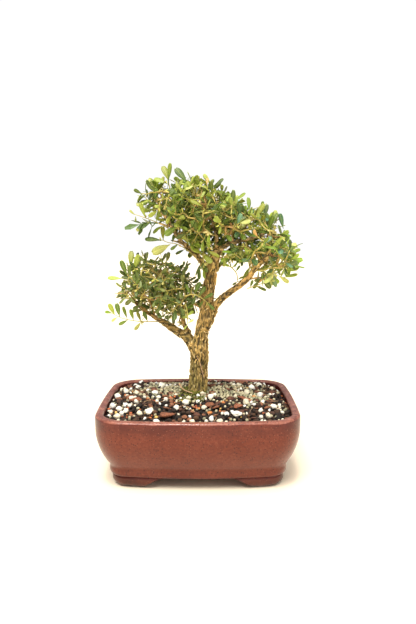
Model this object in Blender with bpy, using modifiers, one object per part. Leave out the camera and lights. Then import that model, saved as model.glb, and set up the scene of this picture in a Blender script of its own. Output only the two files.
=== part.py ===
"""Boxwood bonsai in a glazed, footed, rectangular pot. Metres, +Z up, origin under the middle of the pot."""

import math
import random

import bmesh
import bpy
from mathutils import Matrix, Vector, noise
from mathutils.bvhtree import BVHTree

# Fits
gap = 0.0003  # between pieces that touch
trunk_gnarl = 0.0011  # how far the trunk's surface wanders
root_clearance = trunk_gnarl + gap

# Pot
rim_length = 0.1968  # along X, between the ends of the straight part of the plan
rim_width = 0.1520  # along Y
side_bow = 0.0071  # how far the long sides bulge at their middle
end_bow = 0.0034  # the same for the short sides
corner_radius = 0.0240
pot_height = 0.0735
rim_wall = 0.0078
rim_round = 0.0026
floor_thickness = 0.0085
floor_fillet = 0.0060
foot_height = 0.0118
foot_inset = 0.0180  # from the rim's edge in to the foot's side
end_inset_share = 0.78  # the ends draw in by this share of what the long sides do
foot_round = 0.0080
foot_wall = 0.0150
bead_height = 0.0100
bead_bulge = 0.0036
belly_foot_inset = 0.0150
belly_top_drop = 0.0135  # from the rim down to where the wall turns in
arch_height = foot_height - 0.0006  # up to the crease under the bead
long_foot_length = 0.0240  # flat part of a foot, along X from the pot's corner
short_foot_length = 0.0150  # the same along Y
arch_ramp = 0.0270
drain_radius = 0.0090
drain_end_distance = 0.0534  # from the rim's end to a drain hole's middle

# Drain screens
screen_side = 0.0260
screen_cells = 3
screen_bar = 0.0012

# Soil and what lies on it
soil_edge_drop = 0.0060  # from the rim down to the dressing at the wall
soil_mound = 0.0105
dressing_thickness = 0.0025
moss_radius = 0.0165
moss_thickness = 0.0030

# Leaves
leaf_length = 0.0155
leaf_width = 0.0064
leaf_thickness = 0.0009
leaf_root = 0.0002  # how far a leaf's base reaches past its stem's middle
stem_radius = 0.0008
twig_radius = 0.0010
woody_share = 0.42  # of the way from the branch to a shoot's tip

corner_steps = 4
floor_z = foot_height + floor_thickness
ground_z = pot_height - soil_edge_drop + soil_mound  # top of the mound, where the trunk stands


# Helpers

def clear_scene():
    for old in list(bpy.data.objects):
        bpy.data.objects.remove(old, do_unlink=True)


def new_collection(name, hidden=False):
    group = bpy.data.collections.new(name)
    group.hide_render = hidden
    bpy.context.scene.collection.children.link(group)
    return group


def material(name, colour, roughness, metallic=0.0):
    made = bpy.data.materials.new(name)
    made.use_nodes = True
    shader = made.node_tree.nodes["Principled BSDF"]
    shader.inputs["Base Color"].default_value = (*colour, 1.0)
    shader.inputs["Roughness"].default_value = roughness
    shader.inputs["Metallic"].default_value = metallic
    return made


def object_from(bm, name, look=None, group=None):
    """A new object that holds what is in bm, and frees bm."""
    bmesh.ops.recalc_face_normals(bm, faces=bm.faces)
    mesh = bpy.data.meshes.new(name)
    bm.to_mesh(mesh)
    bm.free()
    made = bpy.data.objects.new(name, mesh)
    if look:
        mesh.materials.append(look)
    (group or cutters).objects.link(made)
    if group is None:
        made.hide_render = True
        made.display_type = "WIRE"
    return made


def mesh_of(curve_object, group=None):
    """Turns a curve into a mesh object with its caps welded, and removes the curve."""
    graph = bpy.context.evaluated_depsgraph_get()
    mesh = bpy.data.meshes.new_from_object(curve_object.evaluated_get(graph))
    bm = bmesh.new()
    bm.from_mesh(mesh)
    bmesh.ops.remove_doubles(bm, verts=bm.verts, dist=1e-6)
    bm.transform(curve_object.matrix_world)
    name = curve_object.name
    bpy.data.objects.remove(curve_object, do_unlink=True)
    bpy.data.meshes.remove(mesh)
    return object_from(bm, name, group=group)


def boolean(target, operation, cutter=None, several=None):
    """Applies a Boolean to target at once, with one cutter or a collection of them."""
    step = target.modifiers.new(operation.lower(), "BOOLEAN")
    step.operation = operation
    if several is None:
        step.object = cutter
    else:
        step.operand_type = "COLLECTION"
        step.collection = several
    graph = bpy.context.evaluated_depsgraph_get()
    graph.update()
    result = bpy.data.meshes.new_from_object(target.evaluated_get(graph))
    target.modifiers.clear()
    target.data = result
    return target


def smooth_shade(target, angle=40):
    target.data.shade_smooth()
    target.data.set_sharp_from_angle(angle=math.radians(angle))


def tree_of(target):
    """A search tree of an object's own mesh, whose object sits at the origin."""
    mesh = target.data
    return BVHTree.FromPolygons([v.co for v in mesh.vertices], [p.vertices for p in mesh.polygons])


# Plan and lofts

def plan(inset, z, wall=0.0):
    """The pot's plan: a rounded rectangle with bowed sides.

    It draws in by inset on the long sides and by less at the ends, and then by wall all round.
    """
    half_x = rim_length / 2 - inset * end_inset_share - wall
    half_y = rim_width / 2 - inset - wall
    radius = max(corner_radius - (inset + wall) * 0.6, 0.004)
    corners = [(1, 1, 0), (-1, 1, 90), (-1, -1, 180), (1, -1, 270)]
    ring = []
    for sx, sy, start in corners:
        centre = Vector((sx * (half_x - radius), sy * (half_y - radius)))
        for step in range(corner_steps + 1):
            angle = math.radians(start + 90 * step / corner_steps)
            ring.append(centre + radius * Vector((math.cos(angle), math.sin(angle))))
        after = ring[-1]
        turn = Vector((-sx * (half_x - radius), sy * half_y)) if sx * sy > 0 else None
        end = turn or Vector((sx * half_x, -sy * (half_y - radius)))
        for share in (0.2, 0.4, 0.6, 0.8):
            ring.append(after.lerp(end, share))
    bowed = []
    for point in ring:
        share_x = point.x / half_x
        share_y = point.y / half_y
        bowed.append(Vector((
            point.x + end_bow * share_x * (1 - share_y ** 2),
            point.y + side_bow * share_y * (1 - share_x ** 2),
            z,
        )))
    return bowed


def loft(name, rings, look=None, group=None):
    """One closed body through rings that have the same number of points."""
    bm = bmesh.new()
    made = [[bm.verts.new(point) for point in ring] for ring in rings]
    count = len(made[0])
    for low, high in zip(made, made[1:]):
        for i in range(count):
            j = (i + 1) % count
            bm.faces.new((low[i], low[j], high[j], high[i]))
    bm.faces.new(made[0][::-1])
    bm.faces.new(made[-1])
    return object_from(bm, name, look, group)


def arc(centre_z, centre_inset, height, depth, start, end, steps):
    """(inset, z) points along part of an ellipse; angle 0 points outwards, 90 up."""
    points = []
    for i in range(steps + 1):
        angle = math.radians(start + (end - start) * i / steps)
        points.append((centre_inset - depth * math.cos(angle), centre_z + height * math.sin(angle)))
    return points


def belly_inset(z):
    """The wall's parabola: plumb under the rim, drawn in towards the bead."""
    low = foot_height + bead_height
    high = pot_height - belly_top_drop
    share = min(max((z - low) / (high - low), 0.0), 1.0)
    return belly_foot_inset * (1 - share) ** 2


# Pot

def inner_wall():
    """(inset, z, wall) down the inside, from where the wall starts to draw in to the floor."""
    high = pot_height - belly_top_drop
    levels = [floor_z + (high - floor_z) * share for share in (1, 0.75, 0.5, 0.25, 0.06)]
    side = [(belly_inset(z), z, rim_wall) for z in levels]
    return side + [(side[-1][0], floor_z, rim_wall + floor_fillet)]


def pot_profile():
    """(inset, z, wall) from the ground, up the outside, over the rim and down to the floor."""
    belly_low = foot_height + bead_height
    foot = arc(foot_round, foot_inset + foot_round, foot_round, foot_round, -90, 0, 4)
    bead_middle = foot_height + bead_height * 0.6
    bead_inset = foot_inset - 0.0008
    bead = arc(bead_middle, bead_inset, bead_height * 0.5, bead_bulge, -80, 50, 4)
    base = foot + [(foot_inset + 0.0003, foot_height)] + bead
    profile = [(inset, z, 0.0) for inset, z in base]
    steps = 5
    belly_high = pot_height - belly_top_drop
    for i in range(steps + 1):
        z = belly_low + (belly_high - belly_low) * i / steps
        profile.append((belly_inset(z), z, 0.0))
    rim = arc(pot_height - rim_round, rim_round, rim_round, rim_round, 0, 90, 3)
    rim += arc(pot_height - rim_round, rim_wall - rim_round, rim_round, -rim_round, 90, 0, 2)
    return profile + [(0.0, z, across) for across, z in rim] + inner_wall()


def arch_outline(half_span, foot_length):
    """The opening between two feet, seen from the side: ramps up in an S and runs level."""
    low_x = half_span - foot_length
    high_x = low_x - arch_ramp
    steps = 5
    ramp = []
    for i in range(steps + 1):
        share = i / steps
        rise = share * share * (3 - 2 * share)
        ramp.append((low_x + (high_x - low_x) * share, arch_height * rise))
    below = [(low_x + 0.002, -0.004)]
    right = below + ramp
    return right + [(-x, z) for x, z in reversed(right)]


def plate(name, outline, thickness, group=None):
    """A flat outline in XY with the given thickness, centred on Z."""
    curve = bpy.data.curves.new(name, "CURVE")
    curve.dimensions = "2D"
    curve.fill_mode = "BOTH"
    curve.extrude = thickness / 2
    line = curve.splines.new("POLY")
    line.points.add(len(outline) - 1)
    for point, (x, y) in zip(line.points, outline):
        point.co = (x, y, 0, 1)
    line.use_cyclic_u = True
    made = bpy.data.objects.new(name, curve)
    cutters.objects.link(made)
    return mesh_of(made, group)


def cylinder(name, radius, low, high, x, y, sides=20):
    bm = bmesh.new()
    place = Matrix.Translation((x, y, (low + high) / 2))
    bmesh.ops.create_cone(
        bm, cap_ends=True, segments=sides, radius1=radius, radius2=radius, depth=high - low, matrix=place
    )
    return object_from(bm, name)


def drain_places():
    x = rim_length / 2 - drain_end_distance
    return [("left", -x), ("right", x)]


def make_pot():
    glaze = material("oxblood_glaze", (0.19, 0.045, 0.032), 0.3)
    pot = loft("pot", [plan(*row) for row in pot_profile()], glaze, parts)
    recess = loft("recess", [
        plan(foot_inset, -0.002, foot_wall),
        plan(foot_inset, foot_height, foot_wall + 0.001),
    ])
    boolean(pot, "DIFFERENCE", recess)
    half_x = rim_length / 2 - foot_inset * end_inset_share
    half_y = rim_width / 2 - foot_inset
    front = plate("arch_front", arch_outline(half_x, long_foot_length), rim_width * 1.3)
    front.data.transform(Matrix.Rotation(math.radians(90), 4, "X"))
    boolean(pot, "DIFFERENCE", front)
    side = plate("arch_side", arch_outline(half_y, short_foot_length), rim_length * 1.3)
    side.data.transform(Matrix.Rotation(math.radians(90), 4, "Z") @ Matrix.Rotation(math.radians(90), 4, "X"))
    boolean(pot, "DIFFERENCE", side)
    for name, x in drain_places():
        drill = cylinder("drill_" + name, drain_radius, foot_height - 0.003, floor_z + 0.003, x, 0)
        boolean(pot, "DIFFERENCE", drill)
    smooth_shade(pot)
    return pot


def make_screens():
    """Plastic mesh squares that lie on the floor over the drain holes and keep the soil in."""
    plastic = material("screen_plastic", (0.03, 0.03, 0.03), 0.6)
    for name, x in drain_places():
        bm = bmesh.new()
        bmesh.ops.create_grid(bm, x_segments=screen_cells, y_segments=screen_cells, size=screen_side / 2)
        screen = object_from(bm, "drain_screen_" + name, plastic, parts)
        screen.location = (x, 0, floor_z + gap + screen_bar / 2)
        lattice = screen.modifiers.new("lattice", "WIREFRAME")
        lattice.thickness = screen_bar
        lattice.use_even_offset = False
        lattice.use_boundary = True


# Wood

def smoothed(points, steps):
    """A Catmull-Rom curve through (x, y, z, radius) points, with steps to each stretch."""
    rows = [Vector(point) for point in points]
    rows = [rows[0] * 2 - rows[1]] + rows + [rows[-1] * 2 - rows[-2]]
    curve = []
    for a, b, c, d in zip(rows, rows[1:], rows[2:], rows[3:]):
        for i in range(steps):
            t = i / steps
            curve.append(0.5 * (
                2 * b + (c - a) * t + (2 * a - 5 * b + 4 * c - d) * t * t + (3 * b - a - 3 * c + d) * t ** 3
            ))
    curve.append(rows[-2])
    return curve


def tube(name, route, extra=0.0, sides=8, gnarl=0.0):
    """A tapering tube along (x, y, z, radius) points, as a welded mesh among the cutters."""
    curve = bpy.data.curves.new(name, "CURVE")
    curve.dimensions = "3D"
    curve.bevel_depth = 1.0
    curve.bevel_resolution = (sides - 4) // 2
    curve.use_fill_caps = True
    line = curve.splines.new("POLY")
    line.points.add(len(route) - 1)
    for point, (x, y, z, radius) in zip(line.points, route):
        point.co = (x, y, z, 1)
        point.radius = radius + extra
    made = bpy.data.objects.new(name, curve)
    cutters.objects.link(made)
    made = mesh_of(made)
    if gnarl:
        for vertex in made.data.vertices:
            at = vertex.co
            bump = noise.noise_vector(Vector((at.x * 110, at.y * 110, at.z * 55)))
            vertex.co = at + Vector((bump.x, bump.y, bump.z * 0.3)) * gnarl
    return made


# Each branch: (x, y, height above the ground, radius), from inside its parent to its tip.
trunk_route = [
    (-0.0030, 0.0060, -0.0220, 0.0130),
    (-0.0018, 0.0060, -0.0080, 0.0118),
    (-0.0010, 0.0060, 0.0005, 0.0102),
    (-0.0003, 0.0060, 0.0130, 0.0090),
    (0.0002, 0.0050, 0.0290, 0.0087),
    (0.0010, 0.0040, 0.0445, 0.0091),
    (0.0022, 0.0030, 0.0570, 0.0078),
    (0.0048, 0.0010, 0.0740, 0.0063),
    (0.0080, 0.0000, 0.0920, 0.0063),
    (0.0106, 0.0000, 0.1110, 0.0062),
    (0.0127, 0.0000, 0.1267, 0.0054),
    (0.0158, -0.0020, 0.1402, 0.0046),
    (0.0204, -0.0040, 0.1535, 0.0038),
]
branch_routes = {
    "left_low": [
        (0.0000, 0.0040, 0.0390, 0.0055),
        (-0.0060, 0.0055, 0.0520, 0.0056),
        (-0.0120, 0.0080, 0.0595, 0.0052),
        (-0.0189, 0.0120, 0.0633, 0.0047),
        (-0.0298, 0.0160, 0.0695, 0.0041),
        (-0.0392, 0.0200, 0.0749, 0.0034),
        (-0.0474, 0.0220, 0.0796, 0.0027),
        (-0.0573, 0.0240, 0.0853, 0.0022),
        (-0.0659, 0.0240, 0.0919, 0.0018),
        (-0.0730, 0.0220, 0.1004, 0.0014),
    ],
    "left_riser": [
        (-0.0060, 0.0065, 0.0525, 0.0034),
        (-0.0103, 0.0090, 0.0620, 0.0030),
        (-0.0147, 0.0140, 0.0720, 0.0025),
        (-0.0185, 0.0180, 0.0823, 0.0022),
        (-0.0220, 0.0220, 0.0940, 0.0019),
        (-0.0300, 0.0270, 0.1080, 0.0015),
    ],
    "right_low": [
        (0.0075, -0.0002, 0.0700, 0.0044),
        (0.0120, -0.0010, 0.0820, 0.0046),
        (0.0173, -0.0050, 0.0949, 0.0041),
        (0.0244, -0.0100, 0.1038, 0.0036),
        (0.0334, -0.0150, 0.1115, 0.0033),
        (0.0422, -0.0190, 0.1180, 0.0032),
        (0.0500, -0.0220, 0.1252, 0.0031),
        (0.0562, -0.0240, 0.1343, 0.0030),
        (0.0634, -0.0260, 0.1418, 0.0026),
        (0.0719, -0.0280, 0.1492, 0.0021),
    ],
    "upper_left": [
        (0.0120, 0.0000, 0.1210, 0.0040),
        (0.0060, 0.0020, 0.1379, 0.0034),
        (-0.0012, 0.0050, 0.1461, 0.0029),
        (-0.0106, 0.0070, 0.1543, 0.0025),
        (-0.0188, 0.0060, 0.1631, 0.0023),
        (-0.0258, 0.0040, 0.1728, 0.0021),
        (-0.0307, 0.0020, 0.1830, 0.0019),
        (-0.0366, 0.0000, 0.1905, 0.0015),
    ],
    "leader_left": [
        (0.0195, -0.0040, 0.1510, 0.0024),
        (0.0184, -0.0060, 0.1677, 0.0018),
        (0.0140, -0.0050, 0.1820, 0.0015),
        (0.0080, 0.0000, 0.1940, 0.0012),
    ],
    "leader_right": [
        (0.0195, -0.0040, 0.1510, 0.0026),
        (0.0324, -0.0100, 0.1597, 0.0023),
        (0.0471, -0.0160, 0.1627, 0.0019),
        (0.0635, -0.0220, 0.1686, 0.0014),
    ],
    "back_right": [
        (0.0138, 0.0005, 0.1280, 0.0028),
        (0.0230, 0.0070, 0.1370, 0.0024),
        (0.0330, 0.0150, 0.1450, 0.0019),
        (0.0400, 0.0230, 0.1550, 0.0014),
    ],
}

# Each shoot: the branch it grows on, where along it (0 to 1), and its tip.
shoot_plan = [
    ("left_low", 0.60, (-0.0860, 0.0160, 0.0890)),
    ("left_low", 0.93, (-0.0880, 0.0260, 0.1160)),
    ("left_low", 0.78, (-0.0680, 0.0300, 0.1470)),
    ("left_riser", 0.99, (-0.0480, 0.0080, 0.1440)),
    ("left_riser", 0.99, (-0.0400, 0.0420, 0.1380)),
    ("left_riser", 0.90, (-0.0200, 0.0250, 0.1380)),
    ("left_riser", 0.62, (-0.0050, 0.0140, 0.1120)),
    ("left_riser", 0.45, (-0.0140, -0.0060, 0.0880)),
    ("left_low", 0.66, (-0.0600, -0.0100, 0.1180)),
    ("left_low", 0.70, (-0.0540, 0.0560, 0.1120)),
    ("left_low", 0.88, (-0.0800, 0.0440, 0.1040)),
    ("left_riser", 0.82, (-0.0160, 0.0500, 0.1100)),
    ("upper_left", 0.98, (-0.0340, -0.0020, 0.2210)),
    ("upper_left", 0.99, (-0.0570, -0.0060, 0.1980)),
    ("upper_left", 0.75, (-0.0610, 0.0060, 0.1780)),
    ("upper_left", 0.48, (-0.0500, 0.0020, 0.1610)),
    ("leader_left", 0.99, (-0.0120, 0.0100, 0.2180)),
    ("leader_left", 0.99, (0.0080, -0.0060, 0.2140)),
    ("upper_left", 0.92, (-0.0420, 0.0280, 0.2060)),
    ("upper_left", 0.60, (-0.0140, 0.0380, 0.2060)),
    ("leader_left", 0.60, (-0.0060, -0.0340, 0.2000)),
    ("leader_left", 0.75, (0.0230, 0.0220, 0.2100)),
    ("leader_right", 0.62, (0.0530, -0.0180, 0.1960)),
    ("leader_right", 0.40, (0.0300, -0.0440, 0.1820)),
    ("back_right", 0.99, (0.0400, 0.0320, 0.1880)),
    ("back_right", 0.80, (0.0680, 0.0140, 0.1780)),
    ("leader_right", 0.98, (0.0790, -0.0160, 0.1740)),
    ("leader_right", 0.90, (0.0830, -0.0320, 0.1600)),
    ("right_low", 0.96, (0.0900, -0.0320, 0.1430)),
    ("right_low", 0.62, (0.0860, -0.0260, 0.1230)),
    ("right_low", 0.88, (0.0700, -0.0560, 0.1550)),
    ("back_right", 0.45, (0.0500, 0.0280, 0.1400)),
]


# Roots in the soil, told the same way as the branches.
root_routes = {
    "root_left": [
        (-0.0020, 0.0060, -0.0140, 0.0070),
        (-0.0180, 0.0100, -0.0220, 0.0045),
        (-0.0340, 0.0130, -0.0310, 0.0024),
    ],
    "root_right": [
        (0.0010, 0.0050, -0.0150, 0.0066),
        (0.0180, 0.0020, -0.0240, 0.0042),
        (0.0350, -0.0040, -0.0320, 0.0022),
    ],
    "root_front": [
        (-0.0010, 0.0030, -0.0150, 0.0062),
        (-0.0060, -0.0140, -0.0230, 0.0040),
        (-0.0080, -0.0290, -0.0330, 0.0022),
    ],
    "root_back": [
        (-0.0010, 0.0080, -0.0140, 0.0060),
        (0.0050, 0.0240, -0.0240, 0.0038),
        (0.0060, 0.0390, -0.0320, 0.0020),
    ],
}


def raised(rows):
    """Rows told from the ground up, as (x, y, z, radius) vectors."""
    return [Vector((x, y, z + ground_z, radius)) for x, y, z, radius in rows]


def along(route, share):
    """The point a share of the way along a route of (x, y, z, radius) rows."""
    place = share * (len(route) - 1)
    index = min(int(place), len(route) - 2)
    return Vector(route[index]).lerp(Vector(route[index + 1]), place - index)


def shoot_line(branch, share, tip):
    """Points from the branch's middle to the shoot's tip, rising in a shallow arc."""
    start = along(raised(branch_routes[branch]), share).to_3d()
    tip = Vector(tip) + Vector((0, 0, ground_z))
    reach = (tip - start).length
    lift = Vector((0, 0, reach * 0.10))
    return [start.lerp(tip, t) + lift * math.sin(math.pi * t) for t in (0, 0.2, woody_share, 0.62, 0.82, 1)]


def make_tree():
    bark = material("corky_bark", (0.38, 0.27, 0.14), 0.9)
    trunk = tube("trunk", smoothed(raised(trunk_route), 2), sides=10, gnarl=trunk_gnarl)
    limbs = new_collection("limbs", hidden=True)
    for name, route in [*branch_routes.items(), *root_routes.items()]:
        limbs.objects.link(tube(name, raised(route), sides=6, gnarl=trunk_gnarl / 2))
    for number, (branch, share, tip) in enumerate(shoot_plan, 1):
        line = shoot_line(branch, share, tip)
        radii = (twig_radius * 1.3, twig_radius * 1.1, twig_radius)
        twig = tube(f"twig_{number:02d}", [(*p, r) for p, r in zip(line, radii)], sides=4)
        limbs.objects.link(twig)
    boolean(trunk, "UNION", several=limbs)
    trunk.hide_render = False
    trunk.display_type = "TEXTURED"
    cutters.objects.unlink(trunk)
    parts.objects.link(trunk)
    trunk.data.materials.clear()
    trunk.data.materials.append(bark)
    smooth_shade(trunk, 60)
    return trunk


# Leafy shoots

def leaf_mesh(base, direction, normal, length, width):
    """A spoon-shaped boxwood leaf: a six-sided lens, narrow at its base, blunt at its tip."""
    bm = bmesh.new()
    bmesh.ops.create_uvsphere(bm, u_segments=6, v_segments=2, radius=1)
    across = direction.cross(normal).normalized()
    upright = across.cross(direction).normalized()
    turn = Matrix.Rotation(math.radians(30), 3, "Z")
    for vertex in bm.verts:
        at = turn @ vertex.co
        if abs(at.z) > 0.5:
            place = (0.58 * length, 0, math.copysign(leaf_thickness / 2, at.z) - 0.05 * width)
        elif at.x < -0.5:
            place = (-leaf_root, math.copysign(stem_radius * 0.4, at.y), 0)
        elif at.x < 0.5:
            place = (0.60 * length, math.copysign(width / 2, at.y), 0.10 * width)
        else:
            place = (length, math.copysign(width * 0.24, at.y), -0.04 * width)
        vertex.co = base + direction * place[0] + across * place[1] + upright * place[2]
    return bm


def touches(tree, near, placed):
    """True if tree crosses any placed search tree of another node near that point."""
    for centre, reach, other in placed:
        if (centre - near).length < reach + leaf_length and other.overlap(tree):
            return True
    return False


def bmesh_tree(bm):
    return BVHTree.FromBMesh(bm)


def shoot_pieces(line, rng):
    """Stems and leaf stations of one shoot: [(route, radius)], [(point, heading, side)]."""
    stems = [[(*p, stem_radius * (1 - 0.10 * i)) for i, p in enumerate(line)]]
    stations = []
    side_length = (line[-1] - line[0]).length * 0.42
    for t, spin in ((0.38, 0), (0.80, 1)):
        at = along([(*p, 0) for p in line], t).to_3d()
        heading = (line[-1] - line[0]).normalized()
        out = heading.orthogonal().normalized()
        out.rotate(Matrix.Rotation(math.radians(90 * spin + rng.uniform(-25, 25)), 3, heading))
        stations.append((at, heading, out))
        stations.append((at - heading * stem_radius, heading, -out))
    tip_heading = (line[-1] - line[-2]).normalized()
    stations.append((line[-1] - tip_heading * 0.0006, tip_heading, tip_heading * 0.001))
    for t, turn in ((0.12, rng.uniform(0, 360)), (0.48, rng.uniform(0, 360))):
        start = along([(*p, 0) for p in line], t).to_3d()
        heading = (line[-1] - line[0]).normalized()
        out = heading.orthogonal().normalized()
        out.rotate(Matrix.Rotation(math.radians(turn), 3, heading))
        way = (heading * 0.75 + out * 0.8).normalized()
        end = start + way * side_length
        stems.append([(*start, stem_radius * 0.8), (*end, stem_radius * 0.7)])
        cross = way.cross(out).normalized()
        at = end - way * 0.0012
        stations.append((at, way, cross))
        stations.append((at - way * stem_radius, way, -cross))
    return stems, stations


def make_shoots(trunk):
    """Every leafy shoot: green stems and their leaves as one body, past the end of its woody twig."""
    green = material("leaf_green", (0.09, 0.16, 0.03), 0.4)
    placed = [(Vector((0, 0, 0.2)), 1.0, tree_of(trunk))]
    for number, (branch, share, tip) in enumerate(shoot_plan, 1):
        rng = random.Random(number)
        line = shoot_line(branch, share, tip)[2:]
        first = (line[1] - line[0]).normalized()
        line[0] = line[0] + first * gap
        stems, stations = shoot_pieces(line, rng)
        group = new_collection(f"shoot_pieces_{number:02d}", hidden=True)
        own = []
        shoot = tube(f"shoot_{number:02d}", stems[0], sides=4)
        own.append((line[2], (line[-1] - line[0]).length, tree_of(shoot)))
        kept = [False] * len(stems)
        for index, stem in enumerate(stems[1:], 1):
            side = tube(f"side_{number:02d}_{index}", stem, sides=4)
            tree = tree_of(side)
            if touches(tree, Vector(stem[1][:3]), placed):
                bpy.data.objects.remove(side, do_unlink=True)
                continue
            kept[index] = True
            group.objects.link(side)
            own.append((Vector(stem[0][:3]), 0.03, tree))
        for index, (at, heading, out) in enumerate(stations):
            if index > 4 and not kept[1 + (index - 5) // 2]:
                continue
            for attempt in range(7):
                lean = rng.uniform(0.5, 1.0)
                way = (heading * lean + out * 1.0).normalized() if out.length > 0.01 else heading
                spin = Matrix.Rotation(rng.uniform(-0.9, 0.9) * (1 + attempt), 3, way)
                normal = spin @ (heading.cross(way) if out.length > 0.01 else heading.orthogonal())
                facing = (normal.normalized() + Vector((0, 0, 0.6))).normalized()
                if facing.cross(way).length < 0.2:
                    facing = normal.normalized()
                size = rng.uniform(0.85, 1.1)
                bm = leaf_mesh(at, way, facing, leaf_length * size, leaf_width * size)
                tree = bmesh_tree(bm)
                if not touches(tree, at, placed):
                    leaf = object_from(bm, f"leaf_{number:02d}_{index:02d}")
                    group.objects.link(leaf)
                    own.append((at, leaf_length * 1.2, tree))
                    break
                bm.free()
        boolean(shoot, "UNION", several=group)
        shoot.hide_render = False
        shoot.display_type = "TEXTURED"
        cutters.objects.unlink(shoot)
        parts.objects.link(shoot)
        shoot.data.materials.clear()
        shoot.data.materials.append(green)
        placed += own


# Soil and dressing

def mound_height(share):
    """Height of the dressing's top where share runs from 0 in the middle to 1 at the wall."""
    return pot_height - soil_edge_drop + soil_mound * (1 - share ** 3)


def blanket_rings(wall, drop):
    """Rings from the wall to the middle that follow the mound, drop below its top."""
    outer = plan(0, 0, wall)
    rings = []
    for share in (1, 0.9, 0.75, 0.55, 0.3, 0.08):
        z = mound_height(share) - drop
        rings.append([Vector((p.x * share, p.y * share, z)) for p in outer])
    return rings


def longer(route):
    """A route whose two ends reach further out by the clearance."""
    first = route[0] + (route[0] - route[1]).normalized() * root_clearance
    last = route[-1] + (route[-1] - route[-2]).normalized() * root_clearance
    return [first] + route[1:-1] + [last]


def root_pocket():
    """The trunk's foot and roots made thicker by the clearance, to cut what lies round them."""
    foot = [row for row in smoothed(raised(trunk_route), 2) if row.z < ground_z + 0.02]
    pocket = tube("root_pocket", longer(foot), extra=root_clearance, sides=14)
    roots = new_collection("root_cuts", hidden=True)
    for name, route in root_routes.items():
        roots.objects.link(tube(name + "_cut", longer(raised(route)), extra=root_clearance, sides=8))
    return boolean(pocket, "UNION", several=roots)


def make_soil(pocket):
    earth = material("potting_soil", (0.045, 0.030, 0.022), 0.95)
    rings = [plan(inset, z + gap, wall + gap) for inset, z, wall in reversed(inner_wall())]
    rings += blanket_rings(rim_wall + gap, dressing_thickness + gap)
    soil = loft("soil", rings, earth, parts)
    boolean(soil, "DIFFERENCE", pocket)
    for name, x in drain_places():
        side = screen_side + screen_bar + 2 * gap
        top = floor_z + screen_bar + 3 * gap
        bm = bmesh.new()
        place = Matrix.Translation((x, 0, (top + floor_z - 0.002) / 2))
        size = Matrix.Diagonal((side, side, top - floor_z + 0.002, 1))
        bmesh.ops.create_cube(bm, size=1, matrix=place @ size)
        boolean(soil, "DIFFERENCE", object_from(bm, "screen_seat_" + name))
    return soil


def make_dressing(pocket):
    grit = material("grit_dressing", (0.42, 0.40, 0.30), 0.9)
    wall = rim_wall + gap
    top = blanket_rings(wall, 0)
    bottom = blanket_rings(wall, dressing_thickness)
    dressing = loft("top_dressing", bottom[::-1] + top, grit, parts)
    boolean(dressing, "DIFFERENCE", pocket)
    return dressing


def ground_under(tree, x, y):
    hit = tree.ray_cast(Vector((x, y, 1)), Vector((0, 0, -1)))[0]
    return hit.z if hit else None


def make_moss(pocket, ground):
    """A low cushion of moss round the trunk's foot, following the ground."""
    moss_look = material("moss", (0.10, 0.13, 0.02), 1.0)
    sides = 18
    under, over = [], []
    for share in (1, 0.75, 0.5, 0.3):
        low, high = [], []
        for i in range(sides):
            angle = 2 * math.pi * i / sides
            ragged = 1 + 0.18 * math.sin(3 * angle + 1) + 0.10 * math.sin(7 * angle)
            reach = moss_radius * share * ragged
            x = trunk_route[2][0] + reach * math.cos(angle)
            y = trunk_route[2][1] - 0.002 + reach * 0.85 * math.sin(angle)
            z = ground_under(ground, x, y)
            z = z if z else mound_height(0)
            low.append(Vector((x, y, z + gap * 2)))
            high.append(Vector((x, y, z + gap * 2 + moss_thickness * (0.35 + 0.65 * (1 - share)))))
        under.append(low)
        over.append(high)
    moss = loft("moss", under[::-1] + over, moss_look, parts)
    boolean(moss, "DIFFERENCE", pocket)
    return moss


def rest_on(piece, ground):
    """Lowers a piece, whose mesh holds its place, until it lies a gap above the ground."""
    points = [v.co.copy() for v in piece.data.vertices]
    drop = min(p.z - ground_under(ground, p.x, p.y) for p in points)
    own = tree_of(piece)
    low_x, high_x = min(p.x for p in points), max(p.x for p in points)
    low_y, high_y = min(p.y for p in points), max(p.y for p in points)
    steps = 8
    for i in range(1, steps):
        for j in range(1, steps):
            x = low_x + (high_x - low_x) * i / steps
            y = low_y + (high_y - low_y) * j / steps
            hit = own.ray_cast(Vector((x, y, -1)), Vector((0, 0, 1)))[0]
            if hit:
                drop = min(drop, hit.z - ground_under(ground, x, y))
    piece.data.transform(Matrix.Translation((0, 0, gap - drop)))


# Loose pieces: name, x and y as shares of the pot's inside, length, width, thickness, turn in degrees.
lumps = [
    ("perlite_1", -0.86, -0.59, 0.0090, 0.0070, 0.0058, 20),
    ("perlite_2", -0.52, -0.82, 0.0100, 0.0080, 0.0062, 70),
    ("perlite_3", -0.23, -0.70, 0.0080, 0.0066, 0.0056, 130),
    ("perlite_4", 0.42, -0.87, 0.0110, 0.0080, 0.0060, 10),
    ("perlite_5", 0.84, -0.51, 0.0090, 0.0074, 0.0058, 45),
    ("perlite_6", -0.75, 0.47, 0.0080, 0.0066, 0.0052, 100),
    ("perlite_7", 0.76, 0.62, 0.0086, 0.0070, 0.0056, 150),
]
chips = [
    ("bark_chip_1", -0.32, -0.91, 0.0150, 0.0110, 0.0032, 15),
    ("bark_chip_2", 0.53, -0.32, 0.0230, 0.0060, 0.0034, -50),
    ("bark_chip_3", -0.72, -0.26, 0.0160, 0.0090, 0.0030, 40),
    ("bark_chip_4", 0.44, -0.63, 0.0110, 0.0090, 0.0036, 80),
    ("bark_chip_5", 0.53, 0.76, 0.0170, 0.0090, 0.0034, -10),
]
clay_bits = [
    ("clay_chip_1", 0.13, -0.82, 0.0070, 0.0050, 0.0036, 30),
    ("clay_chip_2", 0.28, -0.51, 0.0060, 0.0044, 0.0036, 75),
]


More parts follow.
